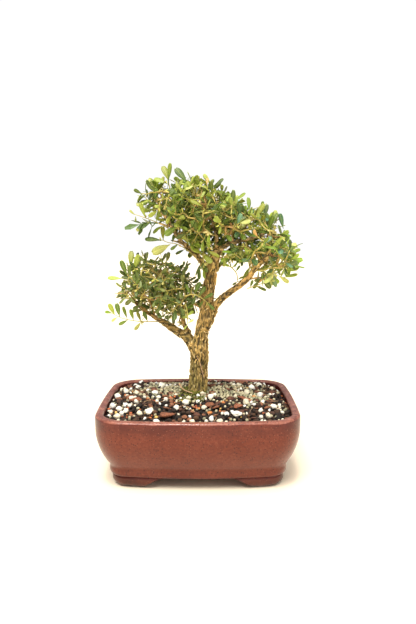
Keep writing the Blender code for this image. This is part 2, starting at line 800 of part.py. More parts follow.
def lay(name, share_x, share_y, sizes, turn, look, ground, blocky, rng):
    """One loose piece on the dressing: a rounded lump, or a blocky chip."""
    bm = bmesh.new()
    if blocky:
        bmesh.ops.create_cube(bm, size=1)
        bmesh.ops.bevel(bm, geom=bm.edges[:], offset=0.12, segments=1, affect="EDGES")
    else:
        bmesh.ops.create_icosphere(bm, subdivisions=1, radius=0.5)
    for vertex in bm.verts:
        vertex.co *= rng.uniform(0.88, 1.1)
        vertex.co = Vector(c * s for c, s in zip(vertex.co, sizes))
    x = share_x * (rim_length / 2 - rim_wall)
    y = share_y * (rim_width / 2 - rim_wall)
    place = Matrix.Translation((x, y, ground_z)) @ Matrix.Rotation(math.radians(turn), 4, "Z")
    bm.transform(place)
    piece = object_from(bm, name, look, parts)
    rest_on(piece, ground)


def make_loose_pieces(ground):
    looks = [
        (lumps, material("perlite", (0.86, 0.84, 0.76), 0.9), False),
        (chips, material("pine_bark", (0.20, 0.09, 0.05), 0.85), True),
        (clay_bits, material("fired_clay", (0.70, 0.27, 0.08), 0.9), False),
    ]
    rng = random.Random(4)
    for rows, look, blocky in looks:
        for name, share_x, share_y, length, width, thickness, turn in rows:
            lay(name, share_x, share_y, (length, width, thickness), turn, look, ground, blocky, rng)


clear_scene()
noise.seed_set(1)
parts = new_collection("bonsai_in_pot")
cutters = new_collection("cutters", hidden=True)
make_pot()
make_screens()
tree = make_tree()
make_shoots(tree)
pocket = root_pocket()
make_soil(pocket)
dressing = make_dressing(pocket)
ground = tree_of(dressing)
make_moss(pocket, ground)
make_loose_pieces(ground)
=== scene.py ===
import math
import random

import bmesh
import bpy
import numpy as np
from mathutils import Matrix, Vector, kdtree, noise
from mathutils.bvhtree import BVHTree


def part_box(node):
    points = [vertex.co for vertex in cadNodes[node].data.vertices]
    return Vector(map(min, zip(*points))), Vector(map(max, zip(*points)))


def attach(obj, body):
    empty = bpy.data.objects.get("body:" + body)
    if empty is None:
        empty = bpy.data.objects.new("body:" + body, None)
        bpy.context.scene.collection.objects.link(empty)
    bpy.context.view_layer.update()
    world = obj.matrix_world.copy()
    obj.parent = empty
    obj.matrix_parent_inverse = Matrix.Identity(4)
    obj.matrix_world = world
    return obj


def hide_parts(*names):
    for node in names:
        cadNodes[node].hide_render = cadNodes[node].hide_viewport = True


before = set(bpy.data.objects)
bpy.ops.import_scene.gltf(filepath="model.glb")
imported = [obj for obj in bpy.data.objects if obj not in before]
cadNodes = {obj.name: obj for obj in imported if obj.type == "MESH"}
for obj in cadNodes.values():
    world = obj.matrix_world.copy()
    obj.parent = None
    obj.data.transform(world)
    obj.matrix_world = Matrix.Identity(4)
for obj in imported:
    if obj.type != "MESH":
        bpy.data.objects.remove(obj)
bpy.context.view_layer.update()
noise.seed_set(7)
up = Vector((0, 0, 1))


# node and material helpers

def addNode(tree, kind, **values):
    node = tree.nodes.new("ShaderNode" + kind)
    for key, value in values.items():
        if hasattr(node, key):
            setattr(node, key, value)
        else:
            node.inputs[key.replace("_", " ")].default_value = value
    return node


def join(tree, *links):
    # each link: a node, its output, the next node, that one's input
    for source, output, target, into in links:
        tree.links.new(source.outputs[output], target.inputs[into])


def newGroup(name, inputs, outputs):
    group = bpy.data.node_groups.new(name, "ShaderNodeTree")
    for label, kind, value in inputs:
        socket = group.interface.new_socket(label, in_out="INPUT", socket_type=kind)
        socket.default_value = value
    for label, kind in outputs:
        group.interface.new_socket(label, in_out="OUTPUT", socket_type=kind)
    start = group.nodes.new("NodeGroupInput")
    end = group.nodes.new("NodeGroupOutput")
    return group, start, end


colourKind, numberKind = "NodeSocketColor", "NodeSocketFloat"


def makeMottleGroup():
    # one colour broken up by two sizes of soft patches
    group, start, end = newGroup("mottle", [
        ("Colour", colourKind, (0.5, 0.5, 0.5, 1)),
        ("Patch Colour", colourKind, (0.2, 0.2, 0.2, 1)),
        ("Scale", numberKind, 100.0),
        ("Amount", numberKind, 0.5),
    ], [("Colour", colourKind), ("Mask", numberKind)])
    spot = addNode(group, "TexCoord")
    soft = addNode(group, "TexNoise", Detail=5.0, Roughness=0.62)
    ramp = addNode(group, "MapRange", From_Min=0.38, From_Max=0.64)
    weigh = addNode(group, "Math", operation="MULTIPLY")
    mix = addNode(group, "Mix", data_type="RGBA")
    join(
        group,
        (spot, "Object", soft, "Vector"), (start, "Scale", soft, "Scale"), (soft, "Fac", ramp, "Value"),
        (ramp, 0, weigh, 0), (start, "Amount", weigh, 1), (weigh, 0, mix, 0), (start, "Colour", mix, 6),
        (start, "Patch Colour", mix, 7), (mix, 2, end, "Colour"), (weigh, 0, end, "Mask"))
    return group


def makeSpeckleGroup():
    # small round specks of a second colour, some of the cells left plain
    group, start, end = newGroup("speckle", [
        ("Colour", colourKind, (0.5, 0.5, 0.5, 1)),
        ("Speck Colour", colourKind, (0.05, 0.05, 0.05, 1)),
        ("Scale", numberKind, 600.0),
        ("Size", numberKind, 0.3),
        ("Share", numberKind, 0.4),
        ("Amount", numberKind, 0.8),
    ], [("Colour", colourKind), ("Mask", numberKind)])
    spot = addNode(group, "TexCoord")
    cells = addNode(group, "TexVoronoi")
    inside = addNode(group, "Math", operation="LESS_THAN")
    pick = addNode(group, "SeparateColor")
    chosen = addNode(group, "Math", operation="LESS_THAN")
    both = addNode(group, "Math", operation="MULTIPLY")
    weigh = addNode(group, "Math", operation="MULTIPLY")
    mix = addNode(group, "Mix", data_type="RGBA")
    join(
        group,
        (spot, "Object", cells, "Vector"), (start, "Scale", cells, "Scale"), (cells, "Distance", inside, 0),
        (start, "Size", inside, 1), (cells, "Color", pick, 0), (pick, 0, chosen, 0), (start, "Share", chosen, 1),
        (inside, 0, both, 0), (chosen, 0, both, 1), (both, 0, weigh, 0), (start, "Amount", weigh, 1),
        (weigh, 0, mix, 0), (start, "Colour", mix, 6), (start, "Speck Colour", mix, 7), (mix, 2, end, "Colour"),
        (weigh, 0, end, "Mask"))
    return group


def makeRoughSkinGroup():
    # height of a skin with coarse and fine bumps
    group, start, end = newGroup("roughSkin", [
        ("Coarse Scale", numberKind, 300.0),
        ("Fine Scale", numberKind, 1500.0),
        ("Fine Share", numberKind, 0.4),
    ], [("Height", numberKind)])
    spot = addNode(group, "TexCoord")
    coarse = addNode(group, "TexNoise", Detail=3.0)
    fine = addNode(group, "TexNoise", Detail=2.0)
    mix = addNode(group, "Mix", data_type="FLOAT")
    join(
        group,
        (spot, "Object", coarse, "Vector"), (spot, "Object", fine, "Vector"),
        (start, "Coarse Scale", coarse, "Scale"), (start, "Fine Scale", fine, "Scale"),
        (start, "Fine Share", mix, 0), (coarse, "Fac", mix, 2), (fine, "Fac", mix, 3), (mix, 0, end, "Height"))
    return group


mottleGroup = makeMottleGroup()
speckleGroup = makeSpeckleGroup()
roughSkinGroup = makeRoughSkinGroup()


def useGroup(tree, group, **values):
    return addNode(tree, "Group", node_tree=group, **values)


def newMaterial(name, roughness=0.6, **shaderValues):
    made = bpy.data.materials.new(name)
    made.use_nodes = True
    tree = made.node_tree
    shader = tree.nodes["Principled BSDF"]
    shader.inputs["Roughness"].default_value = roughness
    for key, value in shaderValues.items():
        shader.inputs[key.replace("_", " ")].default_value = value
    return made, tree, shader


def addSkin(tree, shader, coarse, fine, share, depth, strength=1.0):
    skin = useGroup(tree, roughSkinGroup, Coarse_Scale=coarse, Fine_Scale=fine, Fine_Share=share)
    bump = addNode(tree, "Bump", Strength=strength, Distance=depth)
    join(tree, (skin, "Height", bump, "Height"), (bump, 0, shader, "Normal"))
    return skin


def mottledMaterial(name, roughness, colour, patch, scale, amount, skin):
    # one colour with patches of another and a rough skin
    made, tree, shader = newMaterial(name, roughness)
    mottle = useGroup(tree, mottleGroup, Colour=colour, Patch_Colour=patch, Scale=scale, Amount=amount)
    join(tree, (mottle, "Colour", shader, "Base Color"))
    addSkin(tree, shader, *skin)
    return made


def tintedMaterial(name, patch, scale, amount, roughness, skin, **shaderValues):
    # colour from the piece's own tint, with patches and a rough skin
    made, tree, shader = newMaterial(name, roughness, **shaderValues)
    tint = addNode(tree, "Attribute", attribute_name="tint")
    mottle = useGroup(tree, mottleGroup, Patch_Colour=patch, Scale=scale, Amount=amount)
    join(tree, (tint, "Color", mottle, "Colour"), (mottle, "Colour", shader, "Base Color"))
    addSkin(tree, shader, *skin)
    return made


# mesh helpers

def addObject(name, data):
    thing = bpy.data.objects.new(name, data)
    bpy.context.scene.collection.objects.link(thing)
    return thing


def paintPoints(mesh, tint):
    layer = mesh.color_attributes.new("tint", "FLOAT_COLOR", "POINT")
    rgba = np.ones((len(mesh.vertices), 4), np.float32)
    rgba[:, :3] = tint
    layer.data.foreach_set("color", rgba.ravel())


def meshPiece(name, points, faces, materials, tint=None, uv=None, materialIndex=None):
    mesh = bpy.data.meshes.new(name)
    points = np.asarray(points, dtype=np.float32)
    sides = faces.tolist() if isinstance(faces, np.ndarray) else [list(face) for face in faces]
    mesh.from_pydata(points.tolist(), [], sides)
    if tint is not None:
        paintPoints(mesh, tint)
    if uv is not None:
        corners = np.zeros(len(mesh.loops), np.int32)
        mesh.loops.foreach_get("vertex_index", corners)
        layer = mesh.uv_layers.new(name="leafMap")
        layer.data.foreach_set("uv", np.asarray(uv, np.float32)[corners].ravel())
    for material in materials:
        mesh.materials.append(material)
    if materialIndex is not None:
        mesh.polygons.foreach_set("material_index", np.asarray(materialIndex, np.int32))
    mesh.polygons.foreach_set("use_smooth", [True] * len(mesh.polygons))
    mesh.update()
    return addObject(name, mesh)


def place(piece, slot, *nodes):
    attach(piece, "root")
    if nodes:
        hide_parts(*nodes)
    return piece


def meshArrays(mesh):
    points = np.zeros(len(mesh.vertices) * 3)
    mesh.vertices.foreach_get("co", points)
    return points.reshape(-1, 3), [tuple(p.vertices) for p in mesh.polygons]


def treeOf(mesh):
    return BVHTree.FromPolygons([v.co for v in mesh.vertices], [p.vertices for p in mesh.polygons])


def finderOf(points):
    finder = kdtree.KDTree(len(points))
    for i, at in enumerate(points):
        finder.insert(at, i)
    finder.balance()
    return finder


def noiseOver(points, scale, offset=(0, 0, 0)):
    return np.array([noise.noise(Vector(p) * scale + Vector(offset)) for p in points])


def clamp(value):
    return min(max(value, 0), 1)


def pickShade(dice, tints, low, high):
    return np.array(tints[dice.randrange(len(tints))]) * dice.uniform(low, high)


def shake(dice, *spreads):
    return Vector([dice.gauss(0, spread) for spread in spreads])


def blobTemplate(seed, roughness, levels=2, facets=0):
    # a lump of about unit size, from a ball pushed in and out
    bm = bmesh.new()
    bmesh.ops.create_icosphere(bm, subdivisions=levels, radius=0.5)
    dice = random.Random(seed)
    offset = Vector((seed * 3.1, seed * 1.7, seed * 5.3))
    cuts = [shake(dice, 1, 1, 1).normalized() for _ in range(facets)]
    for vertex in bm.verts:
        way = vertex.co.normalized()
        lump = noise.noise(way * 1.6 + offset)
        dent = noise.noise(way * 4 + offset)
        reach = 0.5 * (1 + roughness * lump + roughness * 0.4 * dent)
        for cut in cuts:
            far = way.dot(cut)
            if far > 0.55:
                reach = min(reach, 0.36 / far)
        vertex.co = way * reach
    points = np.array([v.co[:] for v in bm.verts])
    faces = np.array([[v.index for v in f.verts] for f in bm.faces])
    bm.free()
    return points, faces


def scatterCopies(templates, spots):
    # spots: (template number, matrix, tint); gives joined points, faces and tints
    points, faces, tints, base = [], [], [], 0
    for which, matrix, tint in spots:
        shape, sides = templates[which]
        turn = np.array(matrix)
        points.append(shape @ turn[:3, :3].T + turn[:3, 3])
        faces.append(sides + base)
        tints.append(np.tile(tint, (len(shape), 1)))
        base += len(shape)
    return np.concatenate(points), np.concatenate(faces), np.concatenate(tints)


def spunMatrix(spot, size, dice, lean=math.pi):
    # a placed, scaled copy; lean is how far it may tip from lying flat
    spin = Matrix.Rotation(dice.uniform(0, 2 * math.pi), 4, "Z")
    axis = Vector((dice.uniform(-1, 1), dice.uniform(-1, 1), 0.001)).normalized()
    tip = Matrix.Rotation(dice.uniform(-lean, lean), 4, axis)
    return Matrix.Translation(spot) @ tip @ spin @ Matrix.Diagonal((*size, 1))


def tubeAlong(route, radii, sides=6):
    # a closed tube through points, with its own radius at each
    route = [Vector(p) for p in route]
    points, faces = [], []
    side = None
    for i, at in enumerate(route):
        ahead = (route[min(i + 1, len(route) - 1)] - route[max(i - 1, 0)]).normalized()
        if side is None:
            side = ahead.orthogonal().normalized()
        side = (side - ahead * side.dot(ahead)).normalized()
        other = ahead.cross(side)
        for k in range(sides):
            angle = 2 * math.pi * k / sides
            points.append(at + radii[i] * (math.cos(angle) * side + math.sin(angle) * other))
    for i in range(len(route) - 1):
        for k in range(sides):
            a, b = i * sides + k, i * sides + (k + 1) % sides
            faces.append((a, b, b + sides, a + sides))
    faces.append(tuple(range(sides))[::-1])
    faces.append(tuple(range(len(points) - sides, len(points))))
    return points, faces


# camera, light and floor

stageValues = {
    "eye": (0.0101, -0.5866, 0.2485),
    "tiltDown": 8.0,  # degrees
    "lens": 32.73,
    "sensorHeight": 36,
    "roomSeen": 1.05,  # brightness of the room to the eye
    "roomLight": 0.42,  # and as a source of light
    "floorReach": 6.0,
    "lamps": {  # height and compass angle in degrees (0 is the front, minus is left), softness, strength, colour
        "overhead": (74, -20, 50, 2.45, (1.0, 0.99, 0.97)),
        "glint": (68, -8, 7, 0.95, (1.0, 0.985, 0.95)),
        "keyLeft": (54, -18, 24, 1.70, (1.0, 0.985, 0.95)),
        "keyRight": (35, 55, 40, 0.65, (1.0, 0.985, 0.96)),
        "frontFill": (14, 6, 60, 0.42, (1.0, 0.985, 0.96)),
    },
}


def makeStage():
    v = stageValues
    camera = addObject("camera", bpy.data.cameras.new("camera"))
    camera.data.sensor_fit = "VERTICAL"
    camera.data.sensor_height = v["sensorHeight"]
    camera.data.lens = v["lens"]
    camera.location = v["eye"]
    camera.rotation_euler = (math.radians(90 - v["tiltDown"]), 0, 0)
    bpy.context.scene.camera = camera
    bpy.context.scene.view_settings.view_transform = "Standard"

    for name, (height, compass, softness, strength, colour) in v["lamps"].items():
        lamp = bpy.data.lights.new(name, "SUN")
        lamp.energy = strength
        lamp.color = colour
        lamp.angle = math.radians(softness)
        rise, turn = math.radians(height), math.radians(compass)
        toLamp = Vector((math.cos(rise) * math.sin(turn), -math.cos(rise) * math.cos(turn), math.sin(rise)))
        addObject(name, lamp).rotation_euler = (-toLamp).to_track_quat("-Z", "Y").to_euler()

    # white to the eye, dimmer as a source of light
    world = bpy.data.worlds.new("paleRoom")
    bpy.context.scene.world = world
    world.use_nodes = True
    tree = world.node_tree
    backLight = tree.nodes["Background"]
    backLight.inputs["Color"].default_value = (1.0, 0.99, 0.975, 1)
    seen = addNode(tree, "LightPath")
    level = addNode(tree, "MapRange", To_Min=v["roomLight"], To_Max=v["roomSeen"])
    join(tree, (seen, "Is Camera Ray", level, "Value"), (level, 0, backLight, "Strength"))

    paper, tree, shader = newMaterial("warmPaper", 0.9, Specular_IOR_Level=0.1)
    mottle = useGroup(
        tree, mottleGroup, Colour=(0.97, 0.85, 0.66, 1), Patch_Colour=(0.95, 0.83, 0.63, 1), Scale=4.0)
    join(tree, (mottle, "Colour", shader, "Base Color"))
    far = v["floorReach"]
    corners = [(-far, -far, 0), (far, -far, 0), (far, far, 0), (-far, far, 0)]
    floor = meshPiece("paperFloor", corners, [(0, 1, 2, 3)], [paper])
    floor.location.z = -0.0002


makeStage()
print("stage set")


# pot

potValues = {
    "halfLength": 0.0984,
    "halfWidth": 0.0760,
    "longBow": 0.0071,
    "shortBow": 0.0034,
    "cornerRadius": 0.0240,
    "height": 0.0735,
    "wall": 0.0078,
    "lipRound": 0.0026,
    "endShare": 0.78,  # the ends draw in by this share of what the long sides do
    "footHeight": 0.0118,
    "floorThickness": 0.0085,
    "footInset": 0.0180,
    "footRound": 0.0080,
    "footWall": 0.0150,
    "beadHeight": 0.0100,
    "beadBulge": 0.0026,
    "bellyInset": 0.0150,
    "bellyTop": 0.0600,
    "archHeight": 0.0114,
    "longFoot": 0.0240,
    "shortFoot": 0.0150,
    "archRamp": 0.0270,
    "drainRadius": 0.0090,
    "drainFromEnd": 0.0534,
    "wobble": 0.00055,  # how far the hand-made wall wanders
    "edgeRound": 0.0009,
    "clay": (0.140, 0.025, 0.011),
    "clayDeep": (0.075, 0.012, 0.008),
    # red of the rim top, lightened with a painted sheen as if lit from above
    "lipRedAndSheen": (0.430, 0.175, 0.120),
    # the dark of the lip's rounding and, with clayDeep, of the band under it: thin glaze there and painted shade
    # under the rim
    "lipDarkAndShade": (0.075, 0.010, 0.009),
    "lipPurple": (0.070, 0.022, 0.028),
    "footMaroon": (0.044, 0.010, 0.005),
    "speck": (0.035, 0.010, 0.009),
    "paleSpeck": (0.230, 0.070, 0.040),
}


def potPlan(inset, z, wall=0.0, cornerSteps=9, sideSteps=14):
    # ring at a height; inset is measured on the long sides, wall goes straight in from there
    v = potValues
    halfX = v["halfLength"] - inset * v["endShare"] - wall
    halfY = v["halfWidth"] - inset - wall
    radius = max(v["cornerRadius"] - (inset + wall) * 0.6, 0.004)
    signs = ((1, 1), (-1, 1), (-1, -1), (1, -1))

    def onCorner(corner, degrees):
        sx, sy = signs[corner % 4]
        angle = math.radians(degrees)
        centre = Vector((sx * (halfX - radius), sy * (halfY - radius)))
        return centre + radius * Vector((math.cos(angle), math.sin(angle)))

    ring = []
    for corner in range(4):
        ring += [onCorner(corner, 90 * corner + 90 * i / cornerSteps) for i in range(cornerSteps + 1)]
        start, end = ring[-1], onCorner(corner + 1, 90 * corner + 90)
        ring += [start.lerp(end, i / sideSteps) for i in range(1, sideSteps)]
    bowed = []
    for p in ring:
        shareX, shareY = p.x / halfX, p.y / halfY
        bowed.append((
            p.x + v["shortBow"] * shareX * (1 - shareY ** 2),
            p.y + v["longBow"] * shareY * (1 - shareX ** 2),
            z,
        ))
    return bowed


def bellyInset(z):
    v = potValues
    low = v["footHeight"] + v["beadHeight"]
    return v["bellyInset"] * (1 - clamp((z - low) / (v["bellyTop"] - low))) ** 2


def roundStretch(inset, z, reach, height, start, end, steps):
    # (inset, z) points along part of an ellipse
    points = []
    for i in range(steps + 1):
        angle = math.radians(start + (end - start) * i / steps)
        points.append((inset - reach * math.cos(angle), z + height * math.sin(angle)))
    return points


def potSide():
    # (inset, height, straight wall) from under the foot, over the lip and down inside
    v = potValues
    foot, lip = v["footRound"], v["lipRound"]
    floorZ = v["footHeight"] + v["floorThickness"]
    side = roundStretch(v["footInset"] + foot, foot, foot, foot, -90, 0, 9)
    side.append((v["footInset"] + 0.0003, v["footHeight"] - 0.0008))
    side.append((v["footInset"] + 0.0010, v["footHeight"]))
    beadZ = v["footHeight"] + v["beadHeight"] * 0.55
    side += roundStretch(v["footInset"] - 0.0004, beadZ, v["beadBulge"], v["beadHeight"] * 0.5, -76, 32, 9)
    low = v["footHeight"] + v["beadHeight"]
    heights = [low + (v["bellyTop"] - low) * i / 14 for i in range(15)]
    side += [(bellyInset(z), z) for z in heights]
    lipZ = v["height"] - lip
    side.append((0, (v["bellyTop"] + lipZ) / 2))
    rows = [(inset, z, 0) for inset, z in side]
    over = roundStretch(lip, lipZ, lip, lip, 0, 90, 6) + roundStretch(v["wall"] - lip, lipZ, -lip, lip, 90, 0, 5)
    rows += [(0, z, across) for across, z in over]
    for share in (1, 0.75, 0.5, 0.25, 0.06):
        z = floorZ + (v["bellyTop"] - floorZ) * share
        rows.append((bellyInset(z), z, v["wall"]))
    rows.append((bellyInset(floorZ), floorZ, v["wall"] + 0.006))
    return rows


def ringLoft(name, rings):
    count = len(rings[0])
    points = [p for ring in rings for p in ring]
    faces = []
    for r in range(len(rings) - 1):
        for i in range(count):
            j = (i + 1) % count
            faces.append((r * count + i, r * count + j, (r + 1) * count + j, (r + 1) * count + i))
    faces.append(tuple(range(count))[::-1])
    faces.append(tuple(range(len(points) - count, len(points))))
    return meshPiece(name, points, faces, [])


def cutAway(target, cutter):
    step = target.modifiers.new("cut", "BOOLEAN")
    step.operation = "DIFFERENCE"
    step.object = cutter
    graph = bpy.context.evaluated_depsgraph_get()
    result = bpy.data.meshes.new_from_object(target.evaluated_get(graph))
    target.modifiers.clear()
    target.data = result
    bpy.data.objects.remove(cutter, do_unlink=True)


def archCutter(halfSpan, foot, depth, alongX):
    v = potValues
    lowX, steps = halfSpan - foot, 12
    ramp = [(lowX + 0.004, -0.004), (lowX + 0.001, -0.0002)]
    for i in range(steps + 1):
        share = i / steps
        ramp.append((lowX - v["archRamp"] * share, v["archHeight"] * share * share * (3 - 2 * share)))
    outline = ramp + [(-x, z) for x, z in reversed(ramp)]
    count = len(outline)
    points = [(x, -depth, z) if alongX else (-depth, x, z) for x, z in outline]
    points += [(x, depth, z) if alongX else (depth, x, z) for x, z in outline]
    faces = [tuple(range(count)), tuple(range(count, 2 * count))[::-1]]
    faces += [(i, i + count, (i + 1) % count + count, (i + 1) % count) for i in range(count)]
    cutter = meshPiece("arch", points, faces, [])
    bm = bmesh.new()
    bm.from_mesh(cutter.data)
    bmesh.ops.recalc_face_normals(bm, faces=bm.faces)
    bm.to_mesh(cutter.data)
    bm.free()
    return cutter


def makeEndsGroup():
    # 1 near the two ends of the pot, breaking up towards the middle
    group, start, end = newGroup("ends", [
        ("From", numberKind, 0.05),
        ("To", numberKind, 0.10),
    ], [("Mask", numberKind)])
    spot = addNode(group, "TexCoord")
    split = addNode(group, "SeparateXYZ")
    away = addNode(group, "Math", operation="ABSOLUTE")
    level = addNode(group, "MapRange")
    broken = addNode(group, "TexNoise", Scale=95.0, Detail=5.0, Roughness=0.6)
    ramp = addNode(group, "MapRange", From_Min=0.36, From_Max=0.58)
    both = addNode(group, "Math", operation="MULTIPLY")
    join(
        group,
        (spot, "Object", split, 0), (spot, "Object", broken, "Vector"), (split, "X", away, 0),
        (away, 0, level, "Value"), (start, "From", level, "From Min"), (start, "To", level, "From Max"),
        (broken, "Fac", ramp, "Value"), (level, 0, both, 0), (ramp, 0, both, 1), (both, 0, end, "Mask"))
    return group


def makeGlaze():
    v = potValues
    glaze, tree, shader = newMaterial(
        "oxbloodGlaze", 0.34, Specular_IOR_Level=0.10, Coat_Weight=0.42, Coat_Roughness=0.09)
    spot = addNode(tree, "TexCoord")
    split = addNode(tree, "SeparateXYZ")
    # height bands: maroon feet, brick wall, a darker band under the lip that is glaze pooling and painted shade under
    # the rim, and a red lip lightened with painted sheen
    bands = addNode(tree, "ValToRGB")
    stops = [
        (0.00, v["footMaroon"]), (0.13, v["footMaroon"]), (0.165, v["clayDeep"]), (0.24, v["clay"]),
        (0.80, v["clay"]), (0.90, v["clayDeep"]), (0.965, v["lipDarkAndShade"]), (0.988, v["lipDarkAndShade"]),
        (0.996, v["lipRedAndSheen"]), (1.0, v["lipRedAndSheen"]),
    ]
    ramp = bands.color_ramp
    for element, (at, colour) in zip(ramp.elements, (stops[0], stops[-1])):
        element.position, element.color = at, (*colour, 1)
    for at, colour in stops[1:-1]:
        ramp.elements.new(at).color = (*colour, 1)
    level = addNode(tree, "MapRange", From_Min=0.0, From_Max=v["height"])
    wander = addNode(tree, "TexNoise", Scale=60.0, Detail=3.0)
    drift = addNode(tree, "Math", operation="MULTIPLY_ADD")
    drift.inputs[1].default_value = 0.0022
    high = addNode(
        tree, "MapRange", From_Min=v["height"] - 0.0045, From_Max=v["height"] - 0.0015, To_Max=0.6)
    ends = useGroup(tree, makeEndsGroup(), From=0.060, To=0.094)
    purple = addNode(tree, "Math", operation="MULTIPLY")
    corners = addNode(tree, "Mix", data_type="RGBA")
    corners.inputs[7].default_value = (*v["lipPurple"], 1)
    join(
        tree,
        (spot, "Object", split, 0), (spot, "Object", wander, "Vector"), (wander, "Fac", drift, 0),
        (split, "Z", drift, 2), (drift, 0, level, "Value"), (level, 0, bands, 0), (split, "Z", high, "Value"),
        (high, 0, purple, 0), (ends, "Mask", purple, 1), (purple, 0, corners, 0), (bands, 0, corners, 6))
    cloud = useGroup(tree, mottleGroup, Patch_Colour=(0.190, 0.042, 0.022, 1), Scale=26.0, Amount=0.6)
    grain = useGroup(tree, mottleGroup, Patch_Colour=(*v["clayDeep"], 1), Scale=420.0, Amount=0.55)
    dark = useGroup(
        tree, speckleGroup, Speck_Colour=(*v["speck"], 1), Scale=520.0, Size=0.32, Share=0.25, Amount=0.75)
    pale = useGroup(
        tree, speckleGroup, Speck_Colour=(*v["paleSpeck"], 1), Scale=640.0, Size=0.28, Share=0.20, Amount=0.6)
    join(
        tree,
        (corners, 2, cloud, "Colour"), (cloud, "Colour", grain, "Colour"), (grain, "Colour", dark, "Colour"),
        (dark, "Colour", pale, "Colour"), (pale, "Colour", shader, "Base Color"))
    shine = addNode(tree, "MapRange", To_Min=0.30, To_Max=0.46)
    join(tree, (grain, "Mask", shine, "Value"), (shine, 0, shader, "Roughness"))
    addSkin(tree, shader, 420.0, 1500.0, 0.35, 0.00028, 0.6)
    return glaze


def makePot():
    v = potValues
    pot = ringLoft("glazedPot", [potPlan(*row) for row in potSide()])
    recess = ((-0.002, v["footWall"]), (v["footHeight"], v["footWall"] + 0.001))
    cutAway(pot, ringLoft("recess", [potPlan(v["footInset"], z, wall) for z, wall in recess]))
    cutAway(pot, archCutter(v["halfLength"] - v["footInset"] * v["endShare"], v["longFoot"], 0.12, True))
    cutAway(pot, archCutter(v["halfWidth"] - v["footInset"], v["shortFoot"], 0.14, False))
    floorZ = v["footHeight"] + v["floorThickness"]
    steps, radius = 32, v["drainRadius"]
    for side in (-1, 1):
        middle = side * (v["halfLength"] - v["drainFromEnd"])
        rings = []
        for z in (v["footHeight"] - 0.003, floorZ + 0.003):
            angles = [2 * math.pi * i / steps for i in range(steps)]
            rings.append([(middle + radius * math.cos(a), radius * math.sin(a), z) for a in angles])
        cutAway(pot, ringLoft("drain", rings))
    for vertex in pot.data.vertices:
        at = vertex.co.copy()
        sway = noise.noise_vector(at * 22) * v["wobble"]
        fade = clamp((at.z - 0.004) / 0.02)  # the feet stand flat
        if math.hypot(at.x / v["halfLength"], at.y / v["halfWidth"]) > 0.75:
            vertex.co += Vector((sway.x, sway.y, sway.z * 0.5)) * fade
    soften = pot.modifiers.new("soften", "BEVEL")
    soften.width = v["edgeRound"]
    soften.segments = 2
    soften.limit_method = "ANGLE"
    soften.angle_limit = math.radians(38)
    soften.use_clamp_overlap = True
    pot.data.materials.append(makeGlaze())
    pot.data.shade_smooth()
    pot.data.set_sharp_from_angle(angle=math.radians(48))
    return place(pot, "oxblood_glaze", "pot")


makePot()
print("pot thrown and glazed")

screenMaterial = mottledMaterial(
    "screenPlastic", 0.55, (0.03, 0.03, 0.03, 1), (0.09, 0.06, 0.04, 1), 300.0, 0.5, (500.0, 2500.0, 0.5, 0.0001))
earthMaterial = mottledMaterial(
    "pottingSoil", 0.95, (0.040, 0.026, 0.018, 1), (0.012, 0.008, 0.006, 1), 350.0, 0.9, (350.0, 1300.0, 0.4, 0.0012))
hiddenSkins = {"drain_screen_left": screenMaterial, "drain_screen_right": screenMaterial, "soil": earthMaterial}
for nodeName, material in hiddenSkins.items():
    cadNodes[nodeName].data.materials.clear()
    cadNodes[nodeName].data.materials.append(material)


# ground

groundTree = treeOf(cadNodes["top_dressing"].data)
trunkFoot = Vector((-0.001, 0.006, 0))


def groundAt(x, y):
    hit = groundTree.ray_cast(Vector((x, y, 1)), Vector((0, 0, -1)))[0]
    return hit.z if hit else None


def insidePot(x, y, margin):
    # whether a place on the ground keeps clear of the pot's wall by the margin
    v = potValues
    halfX = v["halfLength"] - v["wall"] - margin
    halfY = v["halfWidth"] - v["wall"] - margin
    bowX = v["shortBow"] * (1 - min(abs(y) / halfY, 1) ** 2)
    bowY = v["longBow"] * (1 - min(abs(x) / halfX, 1) ** 2)
    if abs(x) > halfX + bowX or abs(y) > halfY + bowY:
        return False
    corner = 0.016  # radius of the inside corner
    overX, overY = abs(x) - (halfX - corner), abs(y) - (halfY - corner)
    return not (overX > 0 and overY > 0 and math.hypot(overX, overY) > corner)


bedValues = {
    "cell": 0.0016,
    "columns": 124,
    "rows": 102,
    "sunk": 0.0012,  # below the top of the dressing, so that the grains lie in it
    "thickness": 0.0012,
}


def makeGritBed():
    v = bedValues
    points, _ = meshArrays(cadNodes["top_dressing"].data)
    top = points[:, 2].max()
    cell, columns, rows = v["cell"], v["columns"], v["rows"]
    index, kept, faces = {}, [], []
    for i in range(columns):
        for j in range(rows):
            x, y = (i - columns / 2 + 0.5) * cell, (j - rows / 2 + 0.5) * cell
            if insidePot(x, y, 0.0006):
                z = groundAt(x, y) or top
                lump = 0.0011 * noise.noise(Vector((x, y, 0)) * 260)
                grain = 0.0006 * noise.noise(Vector((x, y, 3)) * 800)
                index[i, j] = len(kept)
                kept.append((x, y, z - v["sunk"] + (lump + grain)))
    for (i, j), a in index.items():
        corners = [index.get((i + 1, j)), index.get((i + 1, j + 1)), index.get((i, j + 1))]
        if None not in corners:
            faces.append((a, *corners))
    bed = meshPiece("gritBed", kept, faces, [bedMaterial])
    thick = bed.modifiers.new("thick", "SOLIDIFY")
    thick.thickness = v["thickness"]
    thick.offset = -1
    return place(bed, "grit_dressing", "top_dressing")


bedMaterial, bedTree, bedShader = newMaterial("darkBed", 0.95)
bedMottle = useGroup(
    bedTree, mottleGroup, Colour=(0.050, 0.030, 0.020, 1), Patch_Colour=(0.010, 0.007, 0.006, 1), Scale=420.0,
    Amount=0.9)
bedSpeck = useGroup(
    bedTree, speckleGroup, Speck_Colour=(0.22, 0.13, 0.07, 1), Scale=700.0, Size=0.32, Share=0.16, Amount=0.8)
join(bedTree, (bedMottle, "Colour", bedSpeck, "Colour"), (bedSpeck, "Colour", bedShader, "Base Color"))
addSkin(bedTree, bedShader, 380.0, 1400.0, 0.4, 0.0012)
makeGritBed()

